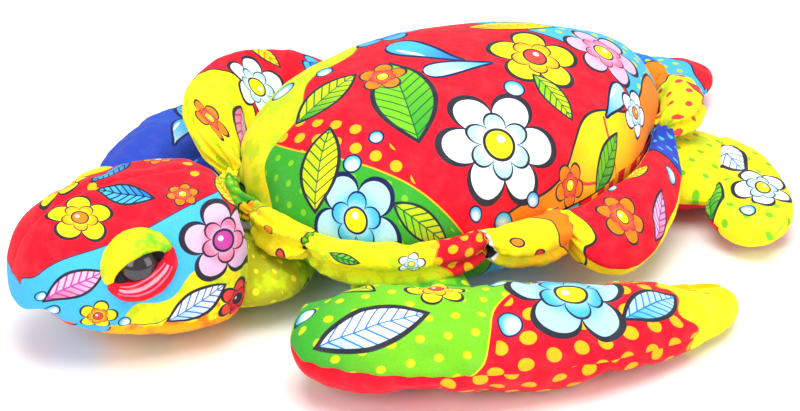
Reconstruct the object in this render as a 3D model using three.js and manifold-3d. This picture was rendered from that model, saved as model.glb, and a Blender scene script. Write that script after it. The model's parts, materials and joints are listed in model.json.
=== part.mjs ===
// A stuffed sea turtle that lies on its belly, about the length of a forearm.
// The padded shell is sewn to a belly cover inside a stuffed rim, which is gathered at ten places.
// The head nods and turns on a soft neck, and four stuffed flippers flap on their sewn root seams.
// Millimetres, Z up. The head points to -Y and the turtle's left side is +X.
// The origin is the middle of the flat spot that the belly rests on.
import * as THREE from "three";
import { mergeVertices } from "three/addons/utils/BufferGeometryUtils.js";
import Module from "manifold-3d";

const wasm = await Module();
wasm.setup();

// Fabric and clearances
const plush_thickness = 2.2;
const stuffing_gap = 0.4;
const sewn_gap = 0.35;
const neck_clearance = 0.75;
const nod_clearance = 0.55;
const seam_split = 0.3;
const cut_overrun = 400;
const lining_coarseness = 2;

// Body: shell above the side seam, belly below it
const body_half_width = 94;
const body_front_length = 128;
const body_rear_length = 151;
const side_seam_height = 49;
const shell_height = 65;
const crown_setback = 10;
const belly_flat_depth = 0.5;
const rest_clearance = 0.4;
const front_outline_power = 2.5;
const rear_outline_power = 1.6;
const shell_power = 2.15;
const belly_power = 2.5;
const body_columns = 28;
const shell_rows = 6;
const belly_rows = 6;

// Padded rim, sewn on at the side seam
const rim_inset = 4;
const rim_front_width = 18;
const rim_front_thickness = 18;
const rim_front_lift = 1;
const rim_near_width = 25;
const rim_near_thickness = 23;
const rim_near_lift = -4;
const rim_roll_width = 30;
const rim_roll_thickness = 23;
const rim_roll_lift = -7;
const rim_rear_side_width = 52;
const rim_rear_side_thickness = 21;
const rim_rear_side_lift = -33;
const rim_far_rear_width = 38;
const rim_far_rear_thickness = 21;
const rim_far_rear_lift = 8;
const rim_shoulder_width = 55;
const rim_shoulder_thickness = 21;
const rim_shoulder_lift = 62;
const rim_rear_width = 31;
const rim_rear_thickness = 24;
const rim_rear_lift = 4;
const rim_stations = 8;
const rim_sides = 8;
const rim_pinch_width = 12;
const rim_pinch_thickness = 9.5;
const rim_swell_power = 0.6;
const rim_section_power = 2.1;
const rim_rear_side_lead_power = 0.55;
const rim_rear_side_swell_power = 0.95;
const rim_shoulder_lead_power = 1.05;
const rim_shoulder_swell_power = 0.38;
const rim_gather_shares = [-0.25, -0.185, -0.04, 0.012, 0.165, 0.25, 0.335, 0.46, 0.51, 0.685, 0.75];

// Neck pad between body and head
const neck_turn_x = 10;
const neck_turn_y = -141;
const neck_radius = 35;
const neck_bottom = 6;
const neck_top = 39;
const neck_columns = 20;
const neck_profile_shares = [0, 0.62, 0.9, 1, 0.93, 0.72, 0];
const neck_rest_angle = -11;

// Head
const head_nod_y = -198;
const head_nod_z = 47;
const head_rear_length = 47;
const head_front_length = 76;
const head_half_width = 49.5;
const head_top_height = 47;
const head_bottom_depth = 46.6;
const head_sides = 16;
const head_stations = 11;
const head_section_power = 2.25;
const beak_droop = 10;
const beak_droop_power = 3;
const head_width_shares = [0, 0.68, 0.93, 1, 1, 0.98, 0.93, 0.83, 0.66, 0.41, 0];
const head_top_shares = [0.05, 0.66, 0.88, 0.98, 1.01, 1.02, 1, 0.92, 0.74, 0.44, 0.02];
const head_bottom_shares = [0.05, 0.72, 0.93, 1, 0.99, 0.93, 0.8, 0.6, 0.38, 0.22, 0.02];
const head_nod_up_angle = 20;
const head_nod_down_angle = 20;
const nod_steps = 14;
const chin_seam_rear_z = -30;
const chin_seam_front_z = -13;

// Eyes and their padded lids
const eye_forward = 17;
const eye_out = 42.5;
const eye_up = 16;
const eye_turn_angle = -8;
const eye_tilt_angle = 15;
const eye_radius = 10;
const eye_dome = 6;
const eye_rim_thickness = 1.6;
const eye_post_radius = 2.2;
const eye_post_length = 17;
const eye_clearance = 0.3;
const washer_radius = 11;
const washer_thickness = 2.4;
const washer_setback = 6;
const eye_facets = 16;
const eye_dome_steps = 5;
const lid_reach = 13.5;
const lid_rise = 12;
const lid_width = 15;
const lid_height = 9.5;
const lid_slit_angle = 24;
const lid_sides = 8;
const lid_stations = 9;
const lid_pinch_share = 0.55;
const lid_start_share = 0.04;
const lid_span_share = 0.92;

// Front flippers, described in the frame of their root seam; the left one is tucked under the rim
const front_root_x = 101.5;
const front_root_y = -90;
const front_root_z = 31;
const front_root_angle = -18;
const front_root_length = 62;
const front_flipper_length = 250;
const front_flipper_lead = 73;
const front_tip_droop = 21;
const tucked_flipper_reach = 41;
const tucked_flipper_width = 72;
const tucked_flipper_rise = 25;
const tucked_flipper_drop = 29;
const spread_flipper_reach = 36;
const spread_flipper_width = 66;
const spread_flipper_rise = 20;
const spread_flipper_drop = 23;
const front_reach_shares = [0.42, 0.5, 0.66, 0.84, 0.96, 1, 0.96, 0.82, 0.62, 0.44, 0.36];
const front_width_shares = [0, 0.56, 0.82, 0.96, 1, 0.98, 0.9, 0.74, 0.5, 0.27, 0];
const front_height_shares = [0, 0.6, 0.85, 0.98, 1, 0.98, 0.88, 0.74, 0.54, 0.33, 0];
const front_flap_up_angle = 30;
const front_flap_down_angle = 30;

// Rear flippers; the left one is swept forward and the right one trails
const swept_root_x = 60;
const swept_root_y = 148;
const swept_root_angle = 47;
const swept_flipper_length = 104;
const swept_flipper_lead = 38;
const swept_flipper_reach = 42;
const swept_reach_shares = [-0.05, 0.1, 0.24, 0.42, 0.6, 0.8, 1];
const trailing_root_x = 46;
const trailing_root_y = 163;
const trailing_root_angle = 65;
const trailing_flipper_length = 24;
const trailing_flipper_lead = 6;
const trailing_flipper_reach = 88;
const trailing_reach_shares = [-0.16, 0.05, 0.26, 0.46, 0.66, 0.84, 1];
const rear_root_z = 20;
const swept_root_length = 68;
const swept_root_shift = 6;
const trailing_root_length = 46;
const rear_flipper_width = 56;
const rear_flipper_rise = 14;
const rear_flipper_drop = 15;
const rear_tip_droop = 4;
const rear_width_shares = [0, 0.6, 0.9, 1, 0.94, 0.66, 0];
const rear_height_shares = [0, 0.66, 0.95, 1, 0.95, 0.66, 0];
const rear_flap_up_angle = 30;
const rear_flap_down_angle = 30;

const flipper_sides = 12;
const flipper_section_power = 1.8;
const flap_margin_angle = 6;
const front_root_width = 34;
const root_overlap = 3;
const root_station_shares = [-1, -0.8, 0, 0.8, 1];
const root_end_share = 0.4;
const front_root_thickness = 20;
const rear_root_width = 58;
const rear_root_thickness = 25;

// Colours of the printed plush, and of the hard pieces
const fabric = (color) => new THREE.MeshStandardMaterial({ color, roughness: 0.92, metalness: 0 });
const plastic = (color, roughness) => new THREE.MeshStandardMaterial({ color, roughness, metalness: 0 });
const red_plush = fabric(0xe0263a);
const yellow_plush = fabric(0xf2d81f);
const green_plush = fabric(0x6fbe2c);
const blue_plush = fabric(0x35a3dd);
const orange_plush = fabric(0xf08a1d);
const polyester_fibre = fabric(0xf4f2ec);
const dark_eye_plastic = plastic(0x2e2a2b, 0.12);
const washer_plastic = plastic(0xe8e6e0, 0.5);

// Solids and meshes
const solid_of = (geometry) => {
  const bare = new THREE.BufferGeometry();
  bare.setAttribute("position", geometry.getAttribute("position").clone());
  bare.setIndex(geometry.getIndex());
  const merged = mergeVertices(bare);
  const vertProperties = new Float32Array(merged.getAttribute("position").array);
  const triVerts = new Uint32Array(merged.getIndex().array);
  return new wasm.Manifold(new wasm.Mesh({ numProp: 3, vertProperties, triVerts }));
};

const geometry_of = (solid) => {
  const mesh = solid.getMesh();
  const geometry = new THREE.BufferGeometry();
  geometry.setAttribute("position", new THREE.BufferAttribute(new Float32Array(mesh.vertProperties), 3));
  geometry.setIndex(new THREE.BufferAttribute(new Uint32Array(mesh.triVerts), 1));
  geometry.computeVertexNormals();
  return geometry;
};

const add_piece = (group, name, solid, material) => {
  const mesh = new THREE.Mesh(geometry_of(solid), material);
  mesh.name = name;
  group.add(mesh);
  return mesh;
};

// The inner side of a cover, and the filling against it, have fewer facets than the outer side
const facets_at = (facets, inset) => (inset > 0 ? facets / lining_coarseness : facets);

const stations_at = (stations, inset) => (
  stations.filter((_, index) => inset <= 0 || index % lining_coarseness === 0)
);

// Stuffed forms: rings of points closed by a point at each end
const eased = (along) => (1 - Math.cos(Math.PI * along)) / 2;

const signed_power = (value, power) => Math.sign(value) * Math.abs(value) ** (2 / power);

const share_at = (shares, along) => {
  const knots = shares.map((share, index) => new THREE.Vector2(index, share));
  return Math.max(0, new THREE.SplineCurve(knots).getPoint(along).y);
};

const signed_volume = (positions, index) => {
  const [a, b, c] = [new THREE.Vector3(), new THREE.Vector3(), new THREE.Vector3()];
  let volume = 0;
  for (let i = 0; i < index.length; i += 3) {
    a.fromArray(positions, 3 * index[i]);
    b.fromArray(positions, 3 * index[i + 1]);
    c.fromArray(positions, 3 * index[i + 2]);
    volume += a.dot(b.cross(c));
  }
  return volume;
};

const ring_form = (rings, first_point, last_point) => {
  const columns = rings[0].length;
  const points = [first_point, ...rings.flat(), last_point];
  const last = points.length - 1;
  const index = [];
  for (let j = 0; j < columns; j += 1) {
    const next = (j + 1) % columns;
    index.push(0, 1 + next, 1 + j);
    for (let i = 0; i + 1 < rings.length; i += 1) {
      const low = 1 + i * columns;
      const high = low + columns;
      index.push(low + j, low + next, high + j, low + next, high + next, high + j);
    }
    index.push(last, last - columns + j, last - columns + next);
  }
  const positions = points.flatMap((point) => point.toArray());
  if (signed_volume(positions, index) < 0) index.reverse();
  const geometry = new THREE.BufferGeometry();
  geometry.setAttribute("position", new THREE.BufferAttribute(new Float32Array(positions), 3));
  geometry.setIndex(index);
  return geometry;
};

// One padded length along a spine; each station gives its centre, directions and half sizes
const padded_length = (stations, sides, power, inset) => {
  const room = (s) => Math.min(s.half, s.rise, s.drop) > inset + sewn_gap;
  const kept = stations_at(stations, inset).filter(room);
  const columns = facets_at(sides, inset);
  const rings = kept.map((s) => Array.from({ length: columns }, (_, j) => {
    const angle = (2 * Math.PI * (j + 0.5)) / columns;
    const out = signed_power(Math.cos(angle), power) * (s.half - inset);
    const height = signed_power(Math.sin(angle), power);
    const up = height * ((height > 0 ? s.rise : s.drop) - inset);
    return s.centre.clone().addScaledVector(s.side, out).addScaledVector(s.up, up);
  }));
  const end_point = (end, ring_centre) => {
    const inward = ring_centre.clone().sub(end).normalize();
    return end.clone().addScaledVector(inward, inset);
  };
  const first = end_point(stations[0].centre, kept[0].centre);
  const last = end_point(stations.at(-1).centre, kept.at(-1).centre);
  return ring_form(rings, first, last);
};

// Cutting tools, all longer than what they cut
const block_between = (low, high) => {
  const size = high.clone().sub(low);
  const middle = low.clone().add(high).multiplyScalar(1 / 2);
  const block = new THREE.BoxGeometry(size.x, size.y, size.z);
  block.translate(middle.x, middle.y, middle.z);
  return solid_of(block);
};

const above = (z) => block_between(
  new THREE.Vector3(-cut_overrun, -cut_overrun, z),
  new THREE.Vector3(cut_overrun, cut_overrun, cut_overrun),
);

const below = (z) => block_between(
  new THREE.Vector3(-cut_overrun, -cut_overrun, -cut_overrun),
  new THREE.Vector3(cut_overrun, cut_overrun, z),
);

// Everything on one side of a line in the YZ plane, cut right across in X
const over_line = (points, lift, upward) => {
  const ordered = points[0].y < points.at(-1).y ? points : points.slice().reverse();
  const edge = ordered.map((p) => new THREE.Vector2(-p.z - lift, p.y));
  const far = upward ? -cut_overrun : cut_overrun;
  const shape = new THREE.Shape([
    ...edge,
    new THREE.Vector2(far, edge.at(-1).y),
    new THREE.Vector2(far, edge[0].y),
  ]);
  const sheet = new THREE.ExtrudeGeometry(shape, { depth: 2 * cut_overrun, bevelEnabled: false });
  sheet.translate(0, 0, -cut_overrun);
  sheet.rotateY(Math.PI / 2);
  return solid_of(sheet);
};

// Body
const outline_point = (share, inset) => {
  const angle = 2 * Math.PI * share;
  const power = Math.sin(angle) < 0 ? front_outline_power : rear_outline_power;
  const length = Math.sin(angle) < 0 ? body_front_length : body_rear_length;
  const x = signed_power(Math.cos(angle), power) * (body_half_width - inset);
  const y = signed_power(Math.sin(angle), power) * (length - inset);
  return new THREE.Vector3(x, y, 0);
};

const body_ring = (level, inset) => {
  const power = level > 0 ? shell_power : belly_power;
  const depth = level > 0 ? shell_height : side_seam_height + belly_flat_depth;
  const spread = signed_power(Math.cos(level * Math.PI / 2), power);
  const z = side_seam_height + signed_power(Math.sin(level * Math.PI / 2), power) * (depth - inset);
  const columns = facets_at(body_columns, inset);
  return Array.from({ length: columns }, (_, j) => {
    const point = outline_point((j + 0.5) / columns, inset).multiplyScalar(spread);
    if (level > 0) point.y += crown_setback * (1 - spread);
    point.z = z;
    return point;
  });
};

const body_form = (inset) => {
  const lower = facets_at(belly_rows, inset);
  const upper = facets_at(shell_rows, inset);
  const levels = [];
  for (let i = 1; i <= lower; i += 1) levels.push(i / lower - 1);
  for (let i = 1; i < upper; i += 1) levels.push(i / upper);
  const rings = levels.map((level) => body_ring(level, inset));
  const bottom = side_seam_height - (side_seam_height + belly_flat_depth - inset);
  const top = side_seam_height + shell_height - inset;
  const crown = new THREE.Vector3(0, crown_setback, top);
  const form = ring_form(rings, new THREE.Vector3(0, 0, bottom), crown);
  return solid_of(form).intersect(above(Math.max(0, inset)));
};

// Neck pad, round about the upright turning axis
const neck_form = (inset) => {
  const last = neck_profile_shares.length - 1;
  const profile = neck_profile_shares.map((share, index) => {
    const z = neck_bottom + inset + ((neck_top - neck_bottom - 2 * inset) * index) / last;
    return new THREE.Vector2(share * (neck_radius - inset), z);
  });
  const neck = new THREE.LatheGeometry(profile, neck_columns);
  neck.rotateX(Math.PI / 2);
  neck.translate(neck_turn_x, neck_turn_y, 0);
  return solid_of(neck);
};

// Head, in the frame of its nodding axis
const head_form_geometry = (inset) => {
  const stations = Array.from({ length: head_stations }, (_, i) => {
    const along = i / (head_stations - 1);
    const y = head_rear_length - eased(along) * (head_rear_length + head_front_length);
    return {
      centre: new THREE.Vector3(0, y, -beak_droop * along ** beak_droop_power),
      side: new THREE.Vector3(1, 0, 0),
      up: new THREE.Vector3(0, 0, 1),
      half: head_half_width * share_at(head_width_shares, along),
      rise: head_top_height * share_at(head_top_shares, along),
      drop: head_bottom_depth * share_at(head_bottom_shares, along),
    };
  });
  return padded_length(stations, head_sides, head_section_power, inset);
};

const head_form = (inset) => solid_of(head_form_geometry(inset));

const degrees = THREE.MathUtils.degToRad;

const head_group = new THREE.Group();
const neck_group = new THREE.Group();
neck_group.position.set(neck_turn_x, neck_turn_y, 0);
neck_group.rotation.z = degrees(neck_rest_angle);
head_group.position.set(0, head_nod_y - neck_turn_y, head_nod_z);
neck_group.add(head_group);
neck_group.updateMatrixWorld(true);

const nodded_head = (nod) => {
  const form = head_form_geometry(-nod_clearance);
  form.rotateX(degrees(-nod));
  form.applyMatrix4(head_group.matrixWorld);
  return solid_of(form);
};

const make_neck = () => {
  let neck = neck_form(0);
  for (let step = 0; step <= nod_steps; step += 1) {
    const nod = -head_nod_down_angle + ((head_nod_up_angle + head_nod_down_angle) * step) / nod_steps;
    neck = neck.subtract(nodded_head(nod));
  }
  return neck;
};

// Rim lengths between the gathers
const rim_sizes = (width, thickness, lift, lead_power = 1, swell_power = rim_swell_power) => (
  { width, thickness, lift, lead_power, swell_power }
);

const rim_station = (share, swell, sizes) => {
  const step = 1 / (body_columns * body_columns);
  const here = outline_point(share, 0);
  const tangent = outline_point(share + step, 0).sub(outline_point(share - step, 0)).normalize();
  const outward = new THREE.Vector3(tangent.y, -tangent.x, 0);
  const width = rim_pinch_width + (sizes.width - rim_pinch_width) * swell;
  const thickness = rim_pinch_thickness + (sizes.thickness - rim_pinch_thickness) * swell;
  const lift = (sizes.lift * width) / sizes.width;
  const side = outward.clone().multiplyScalar(width).setZ(lift).normalize();
  const centre = here.addScaledVector(outward, -rim_inset).setZ(side_seam_height);
  centre.addScaledVector(side, width / 2);
  return {
    centre,
    side,
    up: new THREE.Vector3().crossVectors(side, tangent).normalize(),
    half: width / 2,
    rise: thickness / 2,
    drop: thickness / 2,
  };
};

const rim_length = (from_share, to_share, sizes) => {
  const gap_share = sewn_gap / (2 * Math.PI * body_half_width);
  const start = from_share + gap_share;
  const run = to_share - from_share - 2 * gap_share;
  const stations = Array.from({ length: rim_stations }, (_, i) => {
    const along = i / (rim_stations - 1);
    const swell = Math.sin(Math.PI * Math.min(1, along ** sizes.lead_power)) ** sizes.swell_power;
    return rim_station(start + run * along, swell, sizes);
  });
  return solid_of(padded_length(stations, rim_sides, rim_section_power, 0));
};

const rim_table = () => {
  const front = rim_sizes(rim_front_width, rim_front_thickness, rim_front_lift);
  const near = rim_sizes(rim_near_width, rim_near_thickness, rim_near_lift);
  const roll = rim_sizes(rim_roll_width, rim_roll_thickness, rim_roll_lift);
  const hip = rim_sizes(
    rim_rear_side_width,
    rim_rear_side_thickness,
    rim_rear_side_lift,
    rim_rear_side_lead_power,
    rim_rear_side_swell_power,
  );
  const rear = rim_sizes(rim_rear_width, rim_rear_thickness, rim_rear_lift);
  const far_hip = rim_sizes(rim_far_rear_width, rim_far_rear_thickness, rim_far_rear_lift);
  const shoulder = rim_sizes(
    rim_shoulder_width,
    rim_shoulder_thickness,
    rim_shoulder_lift,
    rim_shoulder_lead_power,
    rim_shoulder_swell_power,
  );
  return [
    ["rim_front_left", front, yellow_plush],
    ["rim_side_front_left", near, yellow_plush],
    ["rim_roll_left", roll, yellow_plush],
    ["rim_side_rear_left", hip, red_plush],
    ["rim_rear_left", rear, yellow_plush],
    ["rim_rear_right", rear, blue_plush],
    ["rim_side_rear_right", far_hip, yellow_plush],
    ["rim_roll_right", roll, orange_plush],
    ["rim_side_front_right", shoulder, red_plush],
    ["rim_front_right", front, green_plush],
  ];
};

const make_body = (body) => {
  const neck_room = neck_form(-neck_clearance);
  const skin = body_form(0).subtract(body_form(plush_thickness)).subtract(neck_room);
  const filling = body_form(plush_thickness + stuffing_gap).subtract(neck_room);
  add_piece(body, "shell_cover", skin.intersect(above(side_seam_height + seam_split / 2)), red_plush);
  add_piece(body, "belly_cover", skin.intersect(below(side_seam_height - seam_split / 2)), green_plush);
  add_piece(body, "body_filling", filling, polyester_fibre);
  const body_room = body_form(-sewn_gap);
  rim_table().forEach(([name, sizes, material], index) => {
    const length = rim_length(rim_gather_shares[index], rim_gather_shares[index + 1], sizes);
    add_piece(body, name, length.subtract(body_room).subtract(neck_room), material);
  });
};

// Flippers, in the frame of the root seam: +X leaves the body, +Y runs along the seam
const front_plan = (reach, width, rise, drop) => ({
  length: front_flipper_length,
  lead: front_flipper_lead,
  heading: 1,
  reach,
  half: width / 2,
  rise,
  drop,
  droop: front_tip_droop,
  reach_shares: front_reach_shares,
  width_shares: front_width_shares,
  height_shares: front_height_shares,
  up_limit: front_flap_up_angle,
  down_limit: front_flap_down_angle,
  root_length: front_root_length,
  root_shift: 0,
  root_width: front_root_width,
  root_thickness: front_root_thickness,
});

const rear_plan = (length, lead, heading, reach, reach_shares, root_length, root_shift) => ({
  length,
  lead,
  heading,
  reach,
  half: rear_flipper_width / 2,
  rise: rear_flipper_rise,
  drop: rear_flipper_drop,
  droop: rear_tip_droop,
  reach_shares,
  width_shares: rear_width_shares,
  height_shares: rear_height_shares,
  up_limit: rear_flap_up_angle,
  down_limit: rear_flap_down_angle,
  root_length,
  root_shift,
  root_width: rear_root_width,
  root_thickness: rear_root_thickness,
});

const flipper_spine = (plan, hand) => {
  const last = plan.reach_shares.length - 1;
  const points = plan.reach_shares.map((share, index) => new THREE.Vector3(
    plan.reach * share,
    hand * plan.heading * (plan.length * eased(index / last) - plan.lead),
    -plan.droop * eased(index / last) ** 2,
  ));
  return new THREE.CatmullRomCurve3(points);
};

const flipper_form = (plan, hand, inset) => {
  const spine = flipper_spine(plan, hand);
  const count = plan.reach_shares.length;
  const stations = Array.from({ length: count }, (_, i) => {
    const along = i / (count - 1);
    const tangent = spine.getTangent(along).setZ(0).normalize();
    return {
      centre: spine.getPoint(along),
      side: new THREE.Vector3(tangent.y, -tangent.x, 0),
      up: new THREE.Vector3(0, 0, 1),
      half: plan.half * share_at(plan.width_shares, along),
      rise: plan.rise * share_at(plan.height_shares, along),
      drop: plan.drop * share_at(plan.height_shares, along),
    };
  });
  return solid_of(padded_length(stations, flipper_sides, flipper_section_power, inset));
};

// The room in which the flipper can flap without meeting the body
const flap_room = (plan, inset) => {
  const up_angle = degrees(90 - plan.up_limit - flap_margin_angle);
  const down_angle = degrees(90 - plan.down_limit - flap_margin_angle);
  const start = sewn_gap / 2 + inset / Math.sin(Math.min(up_angle, down_angle));
  const shape = new THREE.Shape([
    new THREE.Vector2(start, 0),
    new THREE.Vector2(start + cut_overrun * Math.cos(down_angle), -cut_overrun * Math.sin(down_angle)),
    new THREE.Vector2(start + cut_overrun, 0),
    new THREE.Vector2(start + cut_overrun * Math.cos(up_angle), cut_overrun * Math.sin(up_angle)),
  ]);
  const room = new THREE.ExtrudeGeometry(shape, { depth: 2 * cut_overrun, bevelEnabled: false });
  room.translate(0, 0, -cut_overrun);
  room.rotateX(Math.PI / 2);
  return solid_of(room);
};

const add_flipper = (parent, name, plan, hand, place, colours) => {
  const group = new THREE.Group();
  group.position.copy(place.position);
  group.rotation.z = place.turn;
  parent.add(group);
  const floor = rest_clearance - place.position.z;
  const cut_form = (inset) => (
    flipper_form(plan, hand, inset).intersect(flap_room(plan, inset)).intersect(above(floor + inset))
  );
  const outer = cut_form(0);
  const skin = outer.subtract(cut_form(plush_thickness));
  const seam = flipper_spine(plan, hand).getPoints(plan.reach_shares.length);
  const line = [
    seam[0].clone().setY(-hand * plan.heading * cut_overrun),
    ...seam,
    seam.at(-1).clone().setY(hand * plan.heading * cut_overrun),
  ];
  add_piece(group, `${name}_top`, skin.intersect(over_line(line, seam_split / 2, true)), colours[0]);
  add_piece(group, `${name}_bottom`, skin.intersect(over_line(line, -seam_split / 2, false)), colours[1]);
  add_piece(group, `${name}_filling`, cut_form(plush_thickness + stuffing_gap), polyester_fibre);
  return group;
};

// The padded root that joins a flipper to the body's side
const add_root = (parent, name, plan, place, cutters) => {
  const half = plan.root_length / 2;
  const stations = root_station_shares.map((share) => {
    const fullness = Math.sqrt(1 - share * share * (1 - root_end_share ** 2));
    return {
      centre: new THREE.Vector3(root_overlap - plan.root_width / 2, plan.root_shift + half * share, 0),
      side: new THREE.Vector3(1, 0, 0),
      up: new THREE.Vector3(0, 0, 1),
      half: plan.root_width / 2,
      rise: (plan.root_thickness * fullness) / 2,
      drop: (plan.root_thickness * fullness) / 2,
    };
  });
  const body_side = block_between(
    new THREE.Vector3(-cut_overrun, -cut_overrun, -cut_overrun),
    new THREE.Vector3(-sewn_gap / 2, cut_overrun, cut_overrun),
  );
  const whole = solid_of(padded_length(stations, flipper_sides, flipper_section_power, 0));
  const root = geometry_of(whole.intersect(body_side));
  root.rotateZ(place.turn);
  root.translate(place.position.x, place.position.y, place.position.z);
  let solid = solid_of(root);
  for (const cutter of cutters) solid = solid.subtract(cutter);
  add_piece(parent, name, solid, green_plush);
};

const root_place = (x, y, z, turn, hand) => ({
  position: new THREE.Vector3(hand * x, y, z),
  turn: hand > 0 ? degrees(turn) : Math.PI - degrees(turn),
});

// Head covers, filling, eyes and lids
const eye_frame = (hand) => {
  const frame = new THREE.Group();
  frame.position.set(hand * eye_out, -eye_forward, eye_up);
  frame.rotation.order = "ZYX";
  frame.rotation.z = hand > 0 ? degrees(eye_turn_angle) : Math.PI - degrees(eye_turn_angle);
  frame.rotation.y = -degrees(eye_tilt_angle);
  frame.updateMatrix();
  return frame;
};

const turned_along_x = (profile) => {
  const lathe = new THREE.LatheGeometry(profile, eye_facets);
  lathe.rotateZ(-Math.PI / 2);
  return lathe;
};

const eyeball_geometry = (grow) => {
  const dome = Array.from({ length: eye_dome_steps + 1 }, (_, i) => {
    const angle = (Math.PI / 2) * (1 - i / eye_dome_steps);
    return new THREE.Vector2(
      Math.sin(angle) * (eye_radius + grow),
      Math.cos(angle) * (eye_dome + grow),
    );
  });
  return turned_along_x([
    new THREE.Vector2(0, -eye_rim_thickness - eye_post_length - grow),
    new THREE.Vector2(eye_post_radius + grow, -eye_rim_thickness - eye_post_length - grow),
    new THREE.Vector2(eye_post_radius + grow, -eye_rim_thickness - grow),
    new THREE.Vector2(eye_radius + grow, -eye_rim_thickness - grow),
    ...dome,
  ]);
};

const washer_geometry = (grow) => {
  const bore = grow > 0 ? 0 : eye_post_radius + eye_clearance;
  const back = -washer_setback - washer_thickness - grow;
  const front = -washer_setback + grow;
  const outer = washer_radius + grow;
  return turned_along_x([
    new THREE.Vector2(bore, back),
    new THREE.Vector2(outer, back),
    new THREE.Vector2(outer, front),
    new THREE.Vector2(bore, front),
    new THREE.Vector2(bore, back),
  ].slice(0, grow > 0 ? 4 : 5));
};

// The hollow that the eye and its washer press into the filling
const eye_pocket_geometry = () => {
  const depth = eye_rim_thickness + eye_post_length + eye_clearance;
  const radius = washer_radius + eye_clearance;
  return turned_along_x([
    new THREE.Vector2(0, -depth),
    new THREE.Vector2(radius, -depth),
    new THREE.Vector2(radius, eye_dome + eye_clearance),
    new THREE.Vector2(0, eye_dome + eye_clearance),
  ]);
};

const lid_geometry = (upper, hand) => {
  const start = lid_start_share + (upper ? 0 : 1);
  const tilt = degrees(lid_slit_angle) * hand;
  const stations = Array.from({ length: lid_stations }, (_, i) => {
    const along = i / (lid_stations - 1);
    const angle = Math.PI * (start + along * lid_span_share);
    const across = Math.cos(angle) * lid_reach;
    const rise = Math.sin(angle) * lid_rise;
    const centre = new THREE.Vector3(
      0,
      across * Math.cos(tilt) - rise * Math.sin(tilt),
      across * Math.sin(tilt) + rise * Math.cos(tilt),
    );
    const fullness = lid_pinch_share + (1 - lid_pinch_share) * Math.sin(Math.PI * along);
    return {
      centre,
      side: centre.clone().normalize(),
      up: new THREE.Vector3(1, 0, 0),
      half: (lid_width * fullness) / 2,
      rise: lid_height * fullness,
      drop: lid_height * fullness,
    };
  });
  return padded_length(stations, lid_sides, 2, 0);
};

const chin_line = () => [
  new THREE.Vector3(0, cut_overrun, chin_seam_rear_z),
  new THREE.Vector3(0, head_rear_length, chin_seam_rear_z),
  new THREE.Vector3(0, -head_front_length, chin_seam_front_z),
  new THREE.Vector3(0, -cut_overrun, chin_seam_front_z),
];

const placed = (geometry, frame) => solid_of(geometry.clone().applyMatrix4(frame.matrix));

const make_head = (head) => {
  let skin = head_form(0).subtract(head_form(plush_thickness));
  let filling = head_form(plush_thickness + stuffing_gap);
  const head_room = head_form(-sewn_gap);
  for (const hand of [1, -1]) {
    const word = hand > 0 ? "left" : "right";
    const frame = eye_frame(hand);
    const eye_room = placed(eyeball_geometry(eye_clearance), frame);
    const washer_room = placed(washer_geometry(eye_clearance), frame);
    skin = skin.subtract(eye_room).subtract(washer_room);
    filling = filling.subtract(placed(eye_pocket_geometry(), frame));
    const eye = new THREE.Mesh(eyeball_geometry(0), dark_eye_plastic);
    eye.name = `eye_${word}`;
    const washer = new THREE.Mesh(washer_geometry(0), washer_plastic);
    washer.name = `eye_washer_${word}`;
    for (const mesh of [eye, washer]) {
      mesh.position.copy(frame.position);
      mesh.rotation.copy(frame.rotation);
      head.add(mesh);
    }
    for (const upper of [true, false]) {
      const lid = placed(lid_geometry(upper, hand), frame).subtract(head_room).subtract(eye_room);
      const name = `${upper ? "upper" : "lower"}_lid_${word}`;
      add_piece(head, name, lid, upper ? green_plush : red_plush);
    }
  }
  const chin = over_line(chin_line(), -seam_split / 2, false);
  const crown = over_line(chin_line(), seam_split / 2, true);
  const reach = new THREE.Vector3(cut_overrun, cut_overrun, cut_overrun);
  const middle_low = new THREE.Vector3(seam_split / 2, -cut_overrun, -cut_overrun);
  const middle_high = middle_low.clone().negate();
  const left = block_between(middle_low, reach);
  const right = block_between(reach.clone().negate(), middle_high);
  add_piece(head, "head_left", skin.intersect(crown).intersect(left), red_plush);
  add_piece(head, "head_right", skin.intersect(crown).intersect(right), red_plush);
  add_piece(head, "head_chin", skin.intersect(chin), yellow_plush);
  add_piece(head, "head_filling", filling, polyester_fibre);
};

// The whole turtle
const turtle = new THREE.Group();
turtle.name = "plush_turtle";

const body_group = new THREE.Group();
turtle.add(body_group);
make_body(body_group);

add_piece(turtle, "neck_pad", make_neck(), yellow_plush);
make_head(head_group);
turtle.add(neck_group);

const tucked = front_plan(
  tucked_flipper_reach,
  tucked_flipper_width,
  tucked_flipper_rise,
  tucked_flipper_drop,
);
const spread = front_plan(
  spread_flipper_reach,
  spread_flipper_width,
  spread_flipper_rise,
  spread_flipper_drop,
);
const swept = rear_plan(
  swept_flipper_length,
  swept_flipper_lead,
  -1,
  swept_flipper_reach,
  swept_reach_shares,
  swept_root_length,
  swept_root_shift,
);
const trailing = rear_plan(
  trailing_flipper_length,
  trailing_flipper_lead,
  1,
  trailing_flipper_reach,
  trailing_reach_shares,
  trailing_root_length,
  0,
);
const limbs = [
  ["flipper_front_left", tucked, 1, front_root_x, front_root_y, front_root_z, front_root_angle],
  ["flipper_front_right", spread, -1, front_root_x, front_root_y, front_root_z, front_root_angle],
  ["flipper_rear_left", swept, 1, swept_root_x, swept_root_y, rear_root_z, swept_root_angle],
  ["flipper_rear_right", trailing, -1, trailing_root_x, trailing_root_y, rear_root_z, trailing_root_angle],
];
const root_cutters = [
  body_form(-sewn_gap),
  ...rim_table().map(([, sizes], index) => (
    rim_length(rim_gather_shares[index], rim_gather_shares[index + 1], sizes)
  )),
];
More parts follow.
